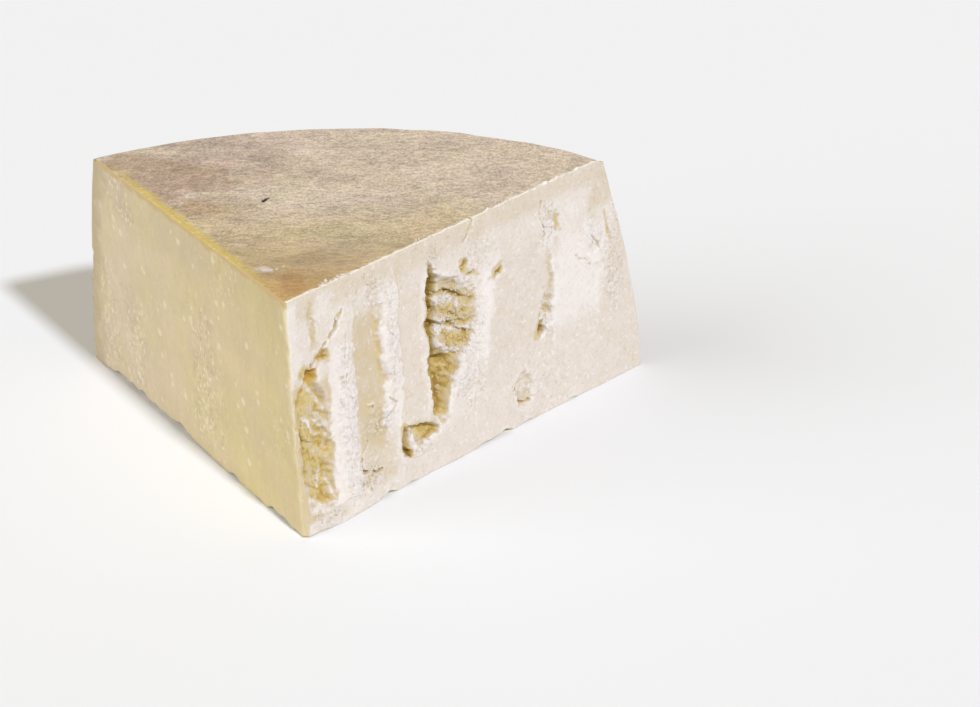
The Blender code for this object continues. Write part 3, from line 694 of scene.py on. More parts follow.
def steps(level, edges, height):
    """Rises from 0 just above each edge to the given height just below the next edge."""
    edges = np.array(edges)
    below = np.clip(np.searchsorted(edges, level) - 1, 0, len(edges) - 2)
    share = np.clip((level - edges[below]) / (edges[below + 1] - edges[below]), 0.0, 1.0)
    return height * share ** STEP_POWER


def slanted(along, height, slant):
    """Places down a slope to the right and across it, the first ones drawn together."""
    slope, stretch = slant
    length = math.hypot(1.0, slope)
    return (along - slope * height) / length / stretch, (slope * along + height) / length


def slanting_facets(along, height, slant, layers, seed):
    """Broken facets that are longer down a slope to the right than across it."""
    places = slanted(along, height, slant)
    return sum(rise * scattered(*places, size, seed + SEED_STEP * n)[1]
               for n, (size, rise) in enumerate(layers))


def slanting_waves(along, height, slant, layers, seed):
    """Smooth noise that is longer down a slope to the right than across it."""
    places = slanted(along, height, slant)
    return waves(np.stack([*places, np.zeros(len(along))], 1), layers, seed)


def scoop_depth(along, height):
    """Depth of the scoop beside the pointed edge, with slanting ridges and facets in it."""
    depth = hollow(along, height, EDGE_SCOOP)
    rough = slanting_facets(along, height, SCOOP_SLANT, SCOOP_FACETS, SEEDS["scoop_facets"])
    rough += slanting_waves(along, height, SCOOP_SLANT, SCOOP_WAVES, SEEDS["scoop_waves"])
    return depth + rough * np.clip(depth / SCOOP_DEPTH, 0.0, 1.0)


def crag_places(points, along, height):
    """Uneven heights counted down the slope of the crags, and 1 where there are crags."""
    slope, _ = CRAG_SLANT
    level = height + slope * (along - CRAG_SIDE[0]) + waves(points, CRAG_WOBBLE, SEEDS["crags"])
    return level, ramp(along, *CRAG_SIDE) * ramp(level, *CRAG_FOOT)


def shaded_creases(points, along, height):
    """1 in the creases of the crags, right below the edge of the next step up, where shade is painted, and 0
    elsewhere.
    """
    level, crags = crag_places(points, along, height)
    return crags * ramp(steps(level, CRAG_EDGES, 1.0), *CREASE_SHARES)


def trough_depth(points, along, height):
    """Depth of the trough: a narrow crevice on the left and crags in slanting steps right of it."""
    depth = hollow(along, height, DEEP_TROUGH)
    level, crags = crag_places(points, along, height)
    rough = steps(level, CRAG_EDGES, CRAG_STEP)
    rough += slanting_facets(along, height, CRAG_SLANT, CRAG_FACETS, SEEDS["crag_facets"])
    stepped = (1.0 - CRAG_SHARE) * depth + rough * np.clip(depth / CRAG_DEPTH, 0.0, 1.0)
    return depth + crags * (stepped - depth)


def curl_depth(along, height):
    """Depth of the hollow round a flake, which falls away behind its lower left rim."""
    rim = np.interp(along, *zip(*CURL_RIM))
    left = CURL_RIM[0][0]
    below = ramp(rim - height, *CURL_BELOW) * ramp(along, *(left + edge for edge in CURL_FOOT))
    hole = hollow(along, height, CURL_HOLE) * (1.0 - below)
    behind = np.clip(height - rim, 0.0, np.maximum(along - left, 0.0) * CURL_SLANT)
    fall, reach, lean = CURL_FALL
    flake = CURL_RIM_DEPTH + fall * (1.0 - np.exp(-behind / reach)) + lean * behind
    inside = ramp(along, left, left + CURL_WALL)
    return hole + inside * (np.minimum(hole, flake) - hole)


def line_distance(along, height, corners):
    """Distance to a line that runs through the given corners."""
    nearest = np.full(len(along), np.inf)
    for (x1, z1), (x2, z2) in zip(corners, corners[1:]):
        length = math.hypot(x2 - x1, z2 - z1)
        share = ((along - x1) * (x2 - x1) + (height - z1) * (z2 - z1)) / length ** 2
        share = np.clip(share, 0.0, 1.0)
        distance = np.hypot(along - x1 - share * (x2 - x1), height - z1 - share * (z2 - z1))
        nearest = np.minimum(nearest, distance)
    return nearest


def crack_depth(along, height, half_width, depth, corners):
    """Depth of a crack that runs through the given corners, uneven in width and broken up."""
    places = np.stack([along, height, along], 1)
    width = 1.0 + waves(places, CRACK_WIDTH_WAVES, SEEDS["crack_width"])
    share = CRACK_DEPTH_SHARE + waves(places, CRACK_DEPTH_WAVES, SEEDS["crack_depth"])
    nearest = line_distance(along, height, corners) * width
    depth = depth * np.clip(share, 0.0, 1.0)
    return depth * (1.0 - ramp(nearest, CRACK_FLOOR * half_width, half_width))


def graininess(along, height):
    """How granular the broken side is at each point."""
    strength = np.full(len(along), LEAST_GRAIN)
    for values in GRAINY:
        strength = np.maximum(strength, dent(along, height, *values))
    return strength


def fine_depth(along, height):
    """Depth of the grains and small facets of the broken side."""
    grainy = graininess(along, height)
    depth = np.zeros(len(along))
    for n, (size, rise) in enumerate(GRAIN_LAYERS):
        distance, _ = scattered(along, height, size, SEEDS["grains"] + SEED_STEP * n)
        depth += grainy * rise * (np.minimum(distance, 1.0) - GRAIN_LEVEL)
    for n, (size, rise) in enumerate(FACET_LAYERS):
        _, level = scattered(along, height, size, SEEDS["facets"] + SEED_STEP * n)
        depth += rise * level * grainy
    return depth


def plane_places(points):
    """Places along the broken side and heights, and the same with a wobble that makes outlines uneven."""
    along, height = points @ BROKEN_ALONG, points[:, 2]
    place = along + waves(points, WOBBLE_LAYERS, SEEDS["place"])
    return along, height, place, height + waves(points, WOBBLE_LAYERS, SEEDS["level"])


def hollow_depth(points, place, level):
    """Depth of all hollows and lumps of the broken side behind its plates."""
    depth = scoop_depth(place, level) + trough_depth(points, place, level) + curl_depth(place, level)
    for values in DENTS:
        depth += dent(place, level, *values)
    return depth


def cracks_depth(along, height, place, level):
    """Depth of all cracks of the broken side."""
    along = CRACK_WOBBLE * place + (1.0 - CRACK_WOBBLE) * along
    height = CRACK_WOBBLE * level + (1.0 - CRACK_WOBBLE) * height
    return sum(crack_depth(along, height, *values) for values in CRACKS)


def broken_depth(points):
    """How far the broken side lies behind its plane."""
    along, height, place, level = plane_places(points)
    depth = plate_depth(place, level) + hollow_depth(points, place, level)
    depth += waves(points, BROKEN_WAVES, SEEDS["broken"])
    depth += fine_depth(along, height)
    near_edge = 1.0 - ramp(along, *CALM_EDGE)
    depth *= (1.0 - CALM_TOP_SHARE * ramp(height, *CALM_TOP)) * (1.0 - CALM_EDGE_SHARE * near_edge)
    return depth + cracks_depth(along, height, place, level)


def area_tone(along, height):
    """Tone of the broken side by area, before its hollows are counted."""
    leaning = along - TONE_LEAN * (height - TONE_LEAN_LEVEL) * ramp(along, *TONE_LEAN_FROM)
    tone = np.full(len(along), BASE_TONE)
    for start, end, low, high, blur, fade, value in TONE_AREAS:
        share = ramp(leaning, start - blur, start + blur) * (1.0 - ramp(leaning, end - blur, end + blur))
        share *= ramp(height, low - fade, low + fade) * (1.0 - ramp(height, high - fade, high + fade))
        tone += share * (value - tone)
    return tone


def wisps(along, height):
    """Lighter and darker slanting wisps in the scoop and in the trough."""
    scoop = slanting_waves(along, height, SCOOP_SLANT, WISPS, SEEDS["scoop_wisps"])
    trough = slanting_waves(along, height, CRAG_SLANT, WISPS, SEEDS["trough_wisps"])
    return np.where(along < SCOOP_END, scoop, trough)


def stroked(tone, along, height):
    """Tone with the strokes painted over it, at places where the camera sees them."""
    for half_width, value, corners in STROKES:
        start, end = (edge * half_width for edge in STROKE_EDGE)
        share = 1.0 - ramp(line_distance(along, height, corners), start, end)
        tone = tone + share * (value - tone)
    return tone


def averaged(grid, reach):
    """Mean of each value of a grid and those up to reach rows and columns away."""
    for axis in (0, 1):
        margin = [(reach, reach) if n == axis else (0, 0) for n in (0, 1)]
        wide = np.pad(grid, margin, mode="edge")
        size = grid.shape[axis]
        grid = sum(wide.take(range(n, n + size), axis=axis) for n in range(2 * reach + 1)) / (2 * reach + 1)
    return grid


def seen_tone(points):
    """Tone of points of the broken side by area, depth, strokes, wisps, creases and cracks, with painted
    shade in the hollows, creases and cracks.
    """
    along, height, place, level = plane_places(points)
    extra = hollow_depth(points, place, level)
    behind = plate_depth(place, level) + extra
    extra = np.maximum(extra, 0.0)
    aside, above = SEEN_SHIFT[0] * behind, SEEN_SHIFT[1] * behind
    # Tone by area, and by depth, which adds ochre paste and painted shade in the hollows
    tone = area_tone(place - aside, level + above) + np.interp(extra, *zip(*DEPTH_OCHRE_AND_SHADE))
    steadier = along + STROKE_WOBBLE * (place - along), height + STROKE_WOBBLE * (level - height)
    tone = stroked(tone, steadier[0] - aside, steadier[1] + above)
    # Slanting wisps, and painted shade in the creases of the crags, fading in with the depth of the hollow
    fine = wisps(place, level) + PAINTED_CREASE_SHADE * shaded_creases(points, place, level)
    tone += fine * np.clip(extra / HOLLOW_DEPTH, 0.0, 1.0)
    # Painted shade in the cracks
    return tone + PAINTED_CRACK_SHADE * cracks_depth(along, height, place, level)


def broken_tone(points, shape):
    """Tone of each point of the broken side, whose points form a grid of the given shape."""
    tone = seen_tone(points)
    depth = broken_depth(points).reshape(shape)
    # Painted shade where a point lies deeper than the mean depth round it, a paler tone where it stands out
    for reach, strength, low, high in PAINTED_CAVITY_SHADE:
        tone += strength * np.clip(depth - averaged(depth, reach), low, high).ravel()
    start, share = TONE_LIMIT
    return np.clip(np.where(tone > start, start + share * (tone - start), tone), 0.0, 1.0)


def heel_radius(height):
    """Radius of the wheel at a height above the level cut: widest there, like a barrel."""
    return TOP_RADIUS + HEEL_BULGE * (1.0 - np.clip(height / HALF_HEIGHT, 0.0, 1.0) ** HEEL_CURVE)


def block_surface(cells):
    """Whole-numbered points on the outside of a block of cells, and the quads between them, facing out."""
    number = np.full([n + 1 for n in cells], -1, np.int32)
    outside = np.ones_like(number, bool)
    outside[1:-1, 1:-1, 1:-1] = False
    number[outside] = np.arange(outside.sum())
    quads = []
    for axis in range(3):
        for end in (0, -1):
            layer = number.take(end, axis=axis)
            ring = (layer[:-1, :-1], layer[1:, :-1], layer[1:, 1:], layer[:-1, 1:])
            facing_in = (end == 0) != (axis == 1)
            quads.append(np.stack(ring[::-1] if facing_in else ring, -1).reshape(-1, 4))
    return np.argwhere(outside), np.concatenate(quads)


def crowded(share):
    """Moves evenly spread shares from 0 to 1 closer to both ends."""
    return share - CELL_CROWDING * np.sin(2.0 * math.pi * share) / (2.0 * math.pi)


def sector_points(lattice):
    """Places the points of a block on the plain sector, with the barrel-shaped heel and sharp edges."""
    along, across, up = crowded(lattice / np.array(CELLS)).T
    share = np.maximum(along, across)
    other = np.minimum(along, across) / np.maximum(share, TINY)
    angle = np.where(along >= across, 1.0 - other, other - 1.0) * HALF_ANGLE
    height = up * HALF_HEIGHT
    radius = share * heel_radius(height)
    return np.stack([radius * np.sin(angle), radius * np.cos(angle), height], 1)


def inside_distances(points):
    """How far points lie inside each face of the sector."""
    height = points[:, 2]
    return {
        "broken": -points @ BROKEN_OUT,
        "cut": -points @ CUT_OUT,
        "heel": heel_radius(height) - np.hypot(points[:, 0], points[:, 1]),
        "top": HALF_HEIGHT - height,
        "bottom": height,
    }


def outward(points):
    """Direction out of each face of the sector."""
    radial = points * np.array([1.0, 1.0, 0.0])
    radial /= np.maximum(np.linalg.norm(radial, axis=1), TINY)[:, None]
    return {"broken": BROKEN_OUT, "cut": CUT_OUT, "heel": radial, "top": UP, "bottom": -UP}


def rounding(points, first, second, radius, seed):
    """How far to move points so that the edge between two square faces is rounded, more or less."""
    inside = inside_distances(points)
    out = outward(points)
    radius = radius * (1.0 + CRUMBLE * smooth_noise(points, CRUMBLE_WAVE, seed))
    gap_first = radius - inside[first]
    gap_second = radius - inside[second]
    reach = np.hypot(gap_first, gap_second)
    near = (gap_first > 0) & (gap_second > 0) & (reach > radius)
    pull = np.where(near, 1.0 - radius / np.maximum(reach, TINY), 0.0)
    return -(pull * gap_first)[:, None] * out[first] - (pull * gap_second)[:, None] * out[second]


def round_apex(points):
    """Rounds the upright edge where the broken side meets the cut side."""
    centre = np.array([0.0, APEX_ROUND / math.sin(HALF_ANGLE)])
    offset = points[:, :2] - centre
    distance = np.linalg.norm(offset, axis=1)
    near = points[:, 1] < APEX_ROUND * math.cos(HALF_ANGLE) / math.tan(HALF_ANGLE)
    near &= distance > APEX_ROUND
    points[near, :2] = centre + offset[near] * (APEX_ROUND / distance[near])[:, None]


def round_edges(points):
    """Rounds all edges of the sector."""
    round_apex(points)
    for seed, ((first, second), radius) in enumerate(EDGE_ROUNDS.items()):
        points += rounding(points, first, second, radius, SEEDS["edges"] + seed)


def crumbs(points, from_broken):
    """Height of the crumbs on the top, along its broken edge."""
    near = 1.0 - ramp(from_broken, *CRUMB_REACH)
    lumps = np.clip(waves(points, CRUMB_LAYERS, SEEDS["crumbs"]) - CRUMB_SINK, 0.0, None)
    return near * lumps


def worn_apex(points, from_broken):
    """Depth of the worn strip of the cut side beside the upright pointed edge."""
    return (1.0 - ramp(from_broken, *APEX_REACH)) * waves(points, APEX_LAYERS, SEEDS["worn"])


def ragged_depth(points, from_cut):
    """Depth of the ragged lower part of the heel's edge beside the cut side."""
    near = (1.0 - ramp(from_cut, *RAGGED_REACH)) * (1.0 - ramp(points[:, 2], *RAGGED_HEIGHTS))
    return near * waves(points, RAGGED_LAYERS, SEEDS["ragged"])


def add_relief(points, plain):
    """Pushes each face in by its relief, which fades out with the distance from that face."""
    inside = inside_distances(plain)
    out = outward(plain)
    near_broken = inside["broken"] < RELIEF_REACH
    broken = np.zeros(len(plain))
    broken[near_broken] = broken_depth(plain[near_broken])
    depth = {
        "broken": broken,
        "cut": waves(plain, CUT_WAVES, SEEDS["cut"]) + worn_apex(plain, inside["broken"]),
        "heel": waves(plain, RIND_WAVES, SEEDS["heel"]) + ragged_depth(plain, inside["cut"]),
        "top": waves(plain, RIND_WAVES, SEEDS["top"]) - crumbs(plain, inside["broken"]),
    }
    above_ground = ramp(plain[:, 2], 0.0, FLAT_FOOT)
    for face, amount in depth.items():
        near = 1.0 - ramp(inside[face], 0.0, RELIEF_REACH)
        keep = above_ground if face == "top" else 1.0
        points -= (amount * near * keep)[:, None] * out[face]
        if face == "broken":
            # The pointed edge moves back within the cut side
            near_cut = 1.0 - ramp(inside["cut"], 0.0, RELIEF_REACH)
            points += (amount * near * near_cut)[:, None] * (BROKEN_OUT @ CUT_OUT) * CUT_OUT


def lift_foot(points, plain):
    """Raises the feet of both sides where they have crumbled away."""
    along = plain @ CUT_ALONG + waves(plain, FOOT_PLACE_WAVES, SEEDS["foot_place"])
    uneven = 1.0 + waves(plain, FOOT_LIFT_WAVES, SEEDS["foot_lift"])
    lift = np.interp(along, *zip(*CUT_FOOT_LIFT)) * uneven
    lift += np.clip(waves(plain, FOOT_LAYERS, SEEDS["cut_foot"]), 0.0, None)
    near_cut = 1.0 - ramp(-plain @ CUT_OUT, 0.0, FOOT_LIFT_REACH)
    near_broken = 1.0 - ramp(-plain @ BROKEN_OUT, 0.0, FOOT_LIFT_REACH)
    near_foot = 1.0 - ramp(plain[:, 2], 0.0, FOOT_LIFT_REACH)
    ragged = np.clip(waves(plain, FOOT_LAYERS, SEEDS["broken_foot"]), 0.0, None)
    points[:, 2] += np.maximum(lift * near_cut, ragged * near_broken) * near_foot


def cheese_points(lattice):
    """The finished points of the piece, with the apex on the Z axis."""
    plain = sector_points(lattice)
    points = plain.copy()
    round_edges(points)
    add_relief(points, plain)
    lift_foot(points, plain)
    return points


def sector_offset(points):
    """How far to move the sector so that its box stands in the middle of the frame's box."""
    low, high = (np.array(corner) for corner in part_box(NODE))
    shift = (low + high) / 2.0 - (points.min(axis=0) + points.max(axis=0)) / 2.0
    shift[2] = 0.0
    return shift


def face_kinds():
    """Number of the material of each quad of the block, in the order of block_surface."""
    along, across, up = CELLS
    faces = ((across * up, 1), (across * up, 2), (along * up, 0), (along * up, 2), (along * across, 1),
             (along * across, 2))
    return np.concatenate([np.full(count, kind, np.int32) for count, kind in faces])


def store(mesh, name, values):
    """Stores a number with each point of a mesh."""
    mesh.attributes.new(name, "FLOAT", "POINT").data.foreach_set("value", values.astype(np.float32))


def placed(name, data):
    """A new object of the scene."""
    item = bpy.data.objects.new(name, data)
    bpy.context.scene.collection.objects.link(item)
    return item


def add_tones(mesh, lattice):
    """Stores the tone, painted shade of the hollows included, and the graininess of the broken side with the
    points of the mesh.
    """
    on_side = lattice[:, 1] == 0
    plain = sector_points(lattice[on_side])
    values = {
        "tone": (BASE_TONE, broken_tone(plain, (CELLS[0] + 1, CELLS[2] + 1))),
        "grain": (LEAST_GRAIN, graininess(plain @ BROKEN_ALONG, plain[:, 2])),
    }
    for name, (elsewhere, on_broken) in values.items():
        every = np.full(len(lattice), elsewhere)
        every[on_side] = on_broken
        store(mesh, name, every)


def make_body():
    """The piece with its fine surface. Returns the object and the place of the sector's apex."""
    lattice, quads = block_surface(CELLS)
    points = cheese_points(lattice)
    apex = sector_offset(points)
    mesh = bpy.data.meshes.new("cheese_dense")
    mesh.from_pydata((points + apex).tolist(), [], quads.tolist())
    mesh.polygons.foreach_set("material_index", face_kinds())
    add_tones(mesh, lattice)
    body = placed("cheese_body", mesh)
    for material in (broken_material(apex), cut_material(apex), rind_material(apex)):
        mesh.materials.append(material)
    thin = body.modifiers.new("thin", "DECIMATE")
    thin.ratio = TARGET_TRIANGLES / (2 * len(quads))
    evaluated = body.evaluated_get(bpy.context.evaluated_depsgraph_get())
    body.data = bpy.data.meshes.new_from_object(evaluated)
    body.modifiers.clear()
    bpy.data.meshes.remove(mesh)
    body.data.shade_smooth()
    return body, apex


def beside_cracks(along, height):
    """1 right beside a crack of the broken side and 0 further away."""
    nearest = np.min([line_distance(along, height, corners) for _, _, corners in CRACKS], axis=0)
    return 1.0 - ramp(nearest, *CRACK_CRUMB_REACH)


def side_places(chance):
    """Random points of the plane of the broken side, more of them where it is granular."""
    beside, above = SIDE_MARGINS
    along = chance.uniform(beside, TOP_RADIUS, SIDE_CRUMBS)
    height = chance.uniform(above, HALF_HEIGHT - above, SIDE_CRUMBS)
    likely = SIDE_CHANCE * graininess(along, height) ** 2 + beside_cracks(along, height)
    keep = chance.uniform(0.0, 1.0, SIDE_CRUMBS) < likely
    points = np.outer(along, BROKEN_ALONG) + np.outer(height, UP)
    return points[keep]


def edge_places(chance):
    """Random points along the broken edge of the top, in clusters."""
    start, end = EDGE_MARGINS
    along = chance.uniform(start, TOP_RADIUS - end, EDGE_CRUMBS)
    line = np.stack([along, along * 0.0, along * 0.0], 1)
    clustered = smooth_noise(line, EDGE_CLUSTER, SEEDS["clusters"]) > EDGE_CRUMBS_FROM
    return np.outer(along[clustered], BROKEN_ALONG) + UP * HALF_HEIGHT


def crumb_shapes(chance, places, sizes):
    """Points and triangles of uneven little lumps at the given places."""
    ball = bmesh.new()
    bmesh.ops.create_icosphere(ball, subdivisions=2, radius=1.0)
    round_points = np.array([vertex.co[:] for vertex in ball.verts])
    triangles = np.array([[vertex.index for vertex in face.verts] for face in ball.faces])
    ball.free()
    points = []
    for place, size in zip(places, sizes):
        lump = round_points * chance.uniform(*CRUMB_STRETCH, 3)
        lump = lump * (1.0 + chance.uniform(-CRUMB_DENTS, CRUMB_DENTS, len(lump)))[:, None]
        turn = np.array(Quaternion(chance.normal(size=4)).normalized().to_matrix())
        points.append(lump @ turn * size + place)
    first_points = np.arange(len(places))[:, None, None] * len(round_points)
    return np.concatenate(points), (triangles[None] + first_points).reshape(-1, 3)


def make_crumbs(apex, material):
    """Crumbs that sit in the granular parts of the broken side and on the edge above it."""
    chance = np.random.RandomState(CRUMB_SEED)
    smallest, largest = CRUMB_SIZES
    on_side = side_places(chance)
    sunk = broken_depth(on_side) + CRUMB_SINKING * smallest
    on_edge = edge_places(chance)
    edge_sunk = chance.uniform(*EDGE_SINKING, len(on_edge))
    places = np.concatenate([on_side, on_edge]) - np.outer(np.concatenate([sunk, edge_sunk]), BROKEN_OUT)
    # The crumbs take a share of the tone of the side, painted shade of the hollows included
    tone = seen_tone(on_side)
    crest = (tone < CREST_TONE) & (sunk > CREST_DEPTH)
    side_tone = np.clip(CRUMB_TONE * tone, 0.0, MOST_CRUMB_TONE)
    tone = np.concatenate([side_tone, np.full(len(on_edge), EDGE_CRUMB_TONE)])
    sizes = smallest + (largest - smallest) * chance.uniform(0.0, 1.0, len(places)) ** 2
    sizes[:len(on_side)][crest] *= CREST_GROWTH
    points, triangles = crumb_shapes(chance, places, sizes)
    mesh = bpy.data.meshes.new("crumbs")
    mesh.from_pydata((points + apex).tolist(), [], triangles.tolist())
    store(mesh, "tone", np.repeat(tone, len(points) // len(places)))
    store(mesh, "grain", np.full(len(points), LEAST_GRAIN))
    mesh.materials.append(material)
    mesh.shade_smooth()
    return placed("cheese_crumbs", mesh)


class Value:
    """A number, colour or place within a material, from which others are worked out."""

    def __init__(self, tree, socket):
        self.tree = tree
        self.socket = socket

    def node(self, kind, inputs=(), **settings):
        """A node whose first input is this value, with others linked or set by name or number."""
        node = self.tree.nodes.new(kind)
        for name, value in settings.items():
            setattr(node, name, value)
        for key, value in {0: self, **dict(inputs)}.items():
            if isinstance(value, Value):
                self.tree.links.new(value.socket, node.inputs[key])
            else:
                node.inputs[key].default_value = value
        return node

    def made(self, kind, inputs=(), output=0, **settings):
        """One output of such a node."""
        return Value(self.tree, self.node(kind, inputs, **settings).outputs[output])

    def maths(self, operation, other=0.0):
        """This number and another, added or otherwise put together."""
        return self.made("ShaderNodeMath", {1: other}, operation=operation)

    def __add__(self, other):
        return self.maths("ADD", other)

    def __sub__(self, other):
        return self.maths("SUBTRACT", other)

    def __mul__(self, other):
        return self.maths("MULTIPLY", other)

    def __truediv__(self, other):
        return self.maths("DIVIDE", other)

    def vector(self, operation, other, output=0):
        """This place and another, put together."""
        return self.made("ShaderNodeVectorMath", {1: other}, output, operation=operation)

    def scaled(self, share):
        """This place or colour times a number."""
        return self.made("ShaderNodeVectorMath", {"Scale": share}, operation="SCALE")

    def parts(self):
        """The three numbers that this place or colour is made of."""
        return [Value(self.tree, socket) for socket in self.node("ShaderNodeSeparateXYZ").outputs]

    def ranged(self, start, end, low=0.0, high=1.0):
        """Changes smoothly from low where this number is at start to high where it is at end."""
        inputs = {1: start, 2: end, 3: low, 4: high}
        return self.made("ShaderNodeMapRange", inputs, interpolation_type="SMOOTHSTEP")

    def graded(self, stops):
        """Colour that goes through the given colours as this number goes from 0 to 1."""
        node = self.node("ShaderNodeValToRGB")
        marks = node.color_ramp.elements
        while len(marks) < len(stops):
            marks.new(0.5)
        for item, (position, colour) in zip(marks, stops):
            item.position = position
            item.color = (*colour, 1.0)
        return Value(self.tree, node.outputs[0])

    def mixed(self, share, other, kind="MIX"):
        """This colour with a share of another mixed in, which may be a plain colour."""
        other = (*other, 1.0) if isinstance(other, tuple) else other
        # The node's two colours are its inputs 6 and 7, and the mixed colour is its output 2
        inputs = {0: share, 6: self, 7: other}
        return self.made("ShaderNodeMix", inputs, 2, data_type="RGBA", blend_type=kind)


def noise(place, wave, stretch, detail, roughness, *span):
    """Noise with the given length of wave, stretched along the axes: from 0 to 1, or over a span."""
    moved = place.vector("MULTIPLY", [1.0 / (wave * share) for share in stretch])
    inputs = {"Scale": 1.0, "Detail": detail, "Roughness": roughness}
    value = moved.made("ShaderNodeTexNoise", inputs)
    return value.ranged(*span) if span else value


def noises(place, table):
    """The noise of each row of a table, by name."""
    return {name: noise(place, *row) for name, row in table.items()}


def tinted(colour, share, tints):
    """A colour times a tint that changes from the first one to the second."""
    first, second = (colour.mixed(1.0, tint, "MULTIPLY") for tint in tints)
    return first.mixed(share, second)


def start_material(name, apex):
    """A new material, and places in it counted from the foot of the sector's apex."""
    material = bpy.data.materials.new(name)
    material.use_nodes = True
    tree = material.node_tree
    coordinates = Value(tree, tree.nodes.new("ShaderNodeTexCoord").outputs["Object"])
    return material, coordinates.vector("SUBTRACT", apex)


def stored(place, name):
    """A number that is stored with the points of the mesh."""
    node = place.tree.nodes.new("ShaderNodeAttribute")
    node.attribute_name = name
    return Value(place.tree, node.outputs["Fac"])


def turned(place, along, out):
    """Places in the axes of a side, and the three numbers that they are made of."""
    parts = [place.vector("DOT_PRODUCT", axis, "Value") for axis in (along, out, UP)]
    return parts[0].made("ShaderNodeCombineXYZ", {1: parts[1], 2: parts[2]}), parts


def depth_in_heel(place):
    """How far a place lies inside the barrel-shaped heel."""
    radius = place.vector("MULTIPLY", (1.0, 1.0, 0.0)).vector("LENGTH", (0.0, 0.0, 0.0), "Value")
    share = (place.parts()[2] / HALF_HEIGHT).maths("MAXIMUM", 0.0)
    inside = share.maths("POWER", HEEL_CURVE) * -HEEL_BULGE + (TOP_RADIUS + HEEL_BULGE)
    return inside - radius


def finish_material(material, colour, roughness, bumps, distance):
    """Links colour, roughness and bumps to the shader."""
    shader = material.node_tree.nodes["Principled BSDF"]
    bump = colour.made("ShaderNodeBump", {0: 1.0, "Height": bumps, "Distance": distance})
    for name, value in (("Base Color", colour), ("Roughness", roughness), ("Normal", bump)):
        material.node_tree.links.new(value.socket, shader.inputs[name])
    shader.inputs["Specular IOR Level"].default_value = SPECULAR
    return shader


def broken_material(apex):
    """Paste that was broken open: white crumb on what stands out, ochre in the hollows, partly the colour of
    the paste and partly painted shade.
    """
    material, place = start_material("broken_paste", apex)
    side, _ = turned(place, BROKEN_ALONG, BROKEN_OUT)
    tone = stored(place, "tone")
    layers = noises(side, BROKEN_NOISE)
    coarse = stored(place, "grain").maths("MINIMUM", MOST_GRAIN) + COARSE_EVERYWHERE
    # Speckle that paints shade where the bumps of the grains are low
    total = tone + layers["fine"].ranged(*SPECKLE_SHADE_SPAN) * coarse + layers["patches"] + layers["flecks"]
    total = total.maths("MINIMUM", tone.maths("MAXIMUM", DARKEST_SPECKLE))
    # Warm painted shade in the orange pit
    pit_shade = side.vector("DISTANCE", ORANGE_PIT, "Value").ranged(ORANGE_PIT_REACH, 0.0)
    colour = total.graded(TONE_COLOURS).mixed(pit_shade, PIT_SHADE_COLOUR)
    cells = side.scaled(CRUMB_CELLS).made("ShaderNodeTexVoronoi", {"Scale": 1.0}, "Distance")
    bumps = (layers["fine"] + cells.ranged(*CRUMB_SPAN)) * coarse
    shader = finish_material(material, colour, total.ranged(*BROKEN_SHINE), bumps, BROKEN_BUMPS)
    shader.inputs["Subsurface Weight"].default_value = BROKEN_SUBSURFACE
    shader.inputs["Subsurface Radius"].default_value = SUBSURFACE_RADIUS
    shader.inputs["Subsurface Scale"].default_value = 1.0
    return material


def band(value, start, end, blur):
    """1 between two edges and 0 outside them."""
    return value.ranged(start - blur, start + blur) * value.ranged(end - blur, end + blur, 1.0, 0.0)


def rough_bands(along, height, wobble):
    """Strength of the granular bands of the cut side."""
    along, height, total = along + wobble, height + wobble, 0.0
    for start, end, low, high, strength in CUT_ROUGH:
        share = band(along, start, end, CUT_ROUGH_BLUR[0]) * band(height, low, high, CUT_ROUGH_BLUR[1])
        total = (share * strength).maths("MAXIMUM", total)
    return total


def spots(side, grains, cell, height_share, fewest, largest, strength):
    """Uneven oval spots of random size: the given strength inside them and 0 elsewhere."""
    moved = side.vector("MULTIPLY", (1.0 / cell, 1.0 / cell, 1.0 / (cell * height_share)))
    node = moved.node("ShaderNodeTexVoronoi", {"Scale": 1.0})
    distance, colour = (Value(side.tree, node.outputs[name]) for name in ("Distance", "Color"))
    size = colour.parts()[0].ranged(fewest, 1.0, SMALLEST_SPOT, largest) + grains.ranged(*SPOT_RAGGED)
    return (size - distance).ranged(*SPOT_EDGE, 0.0, strength)


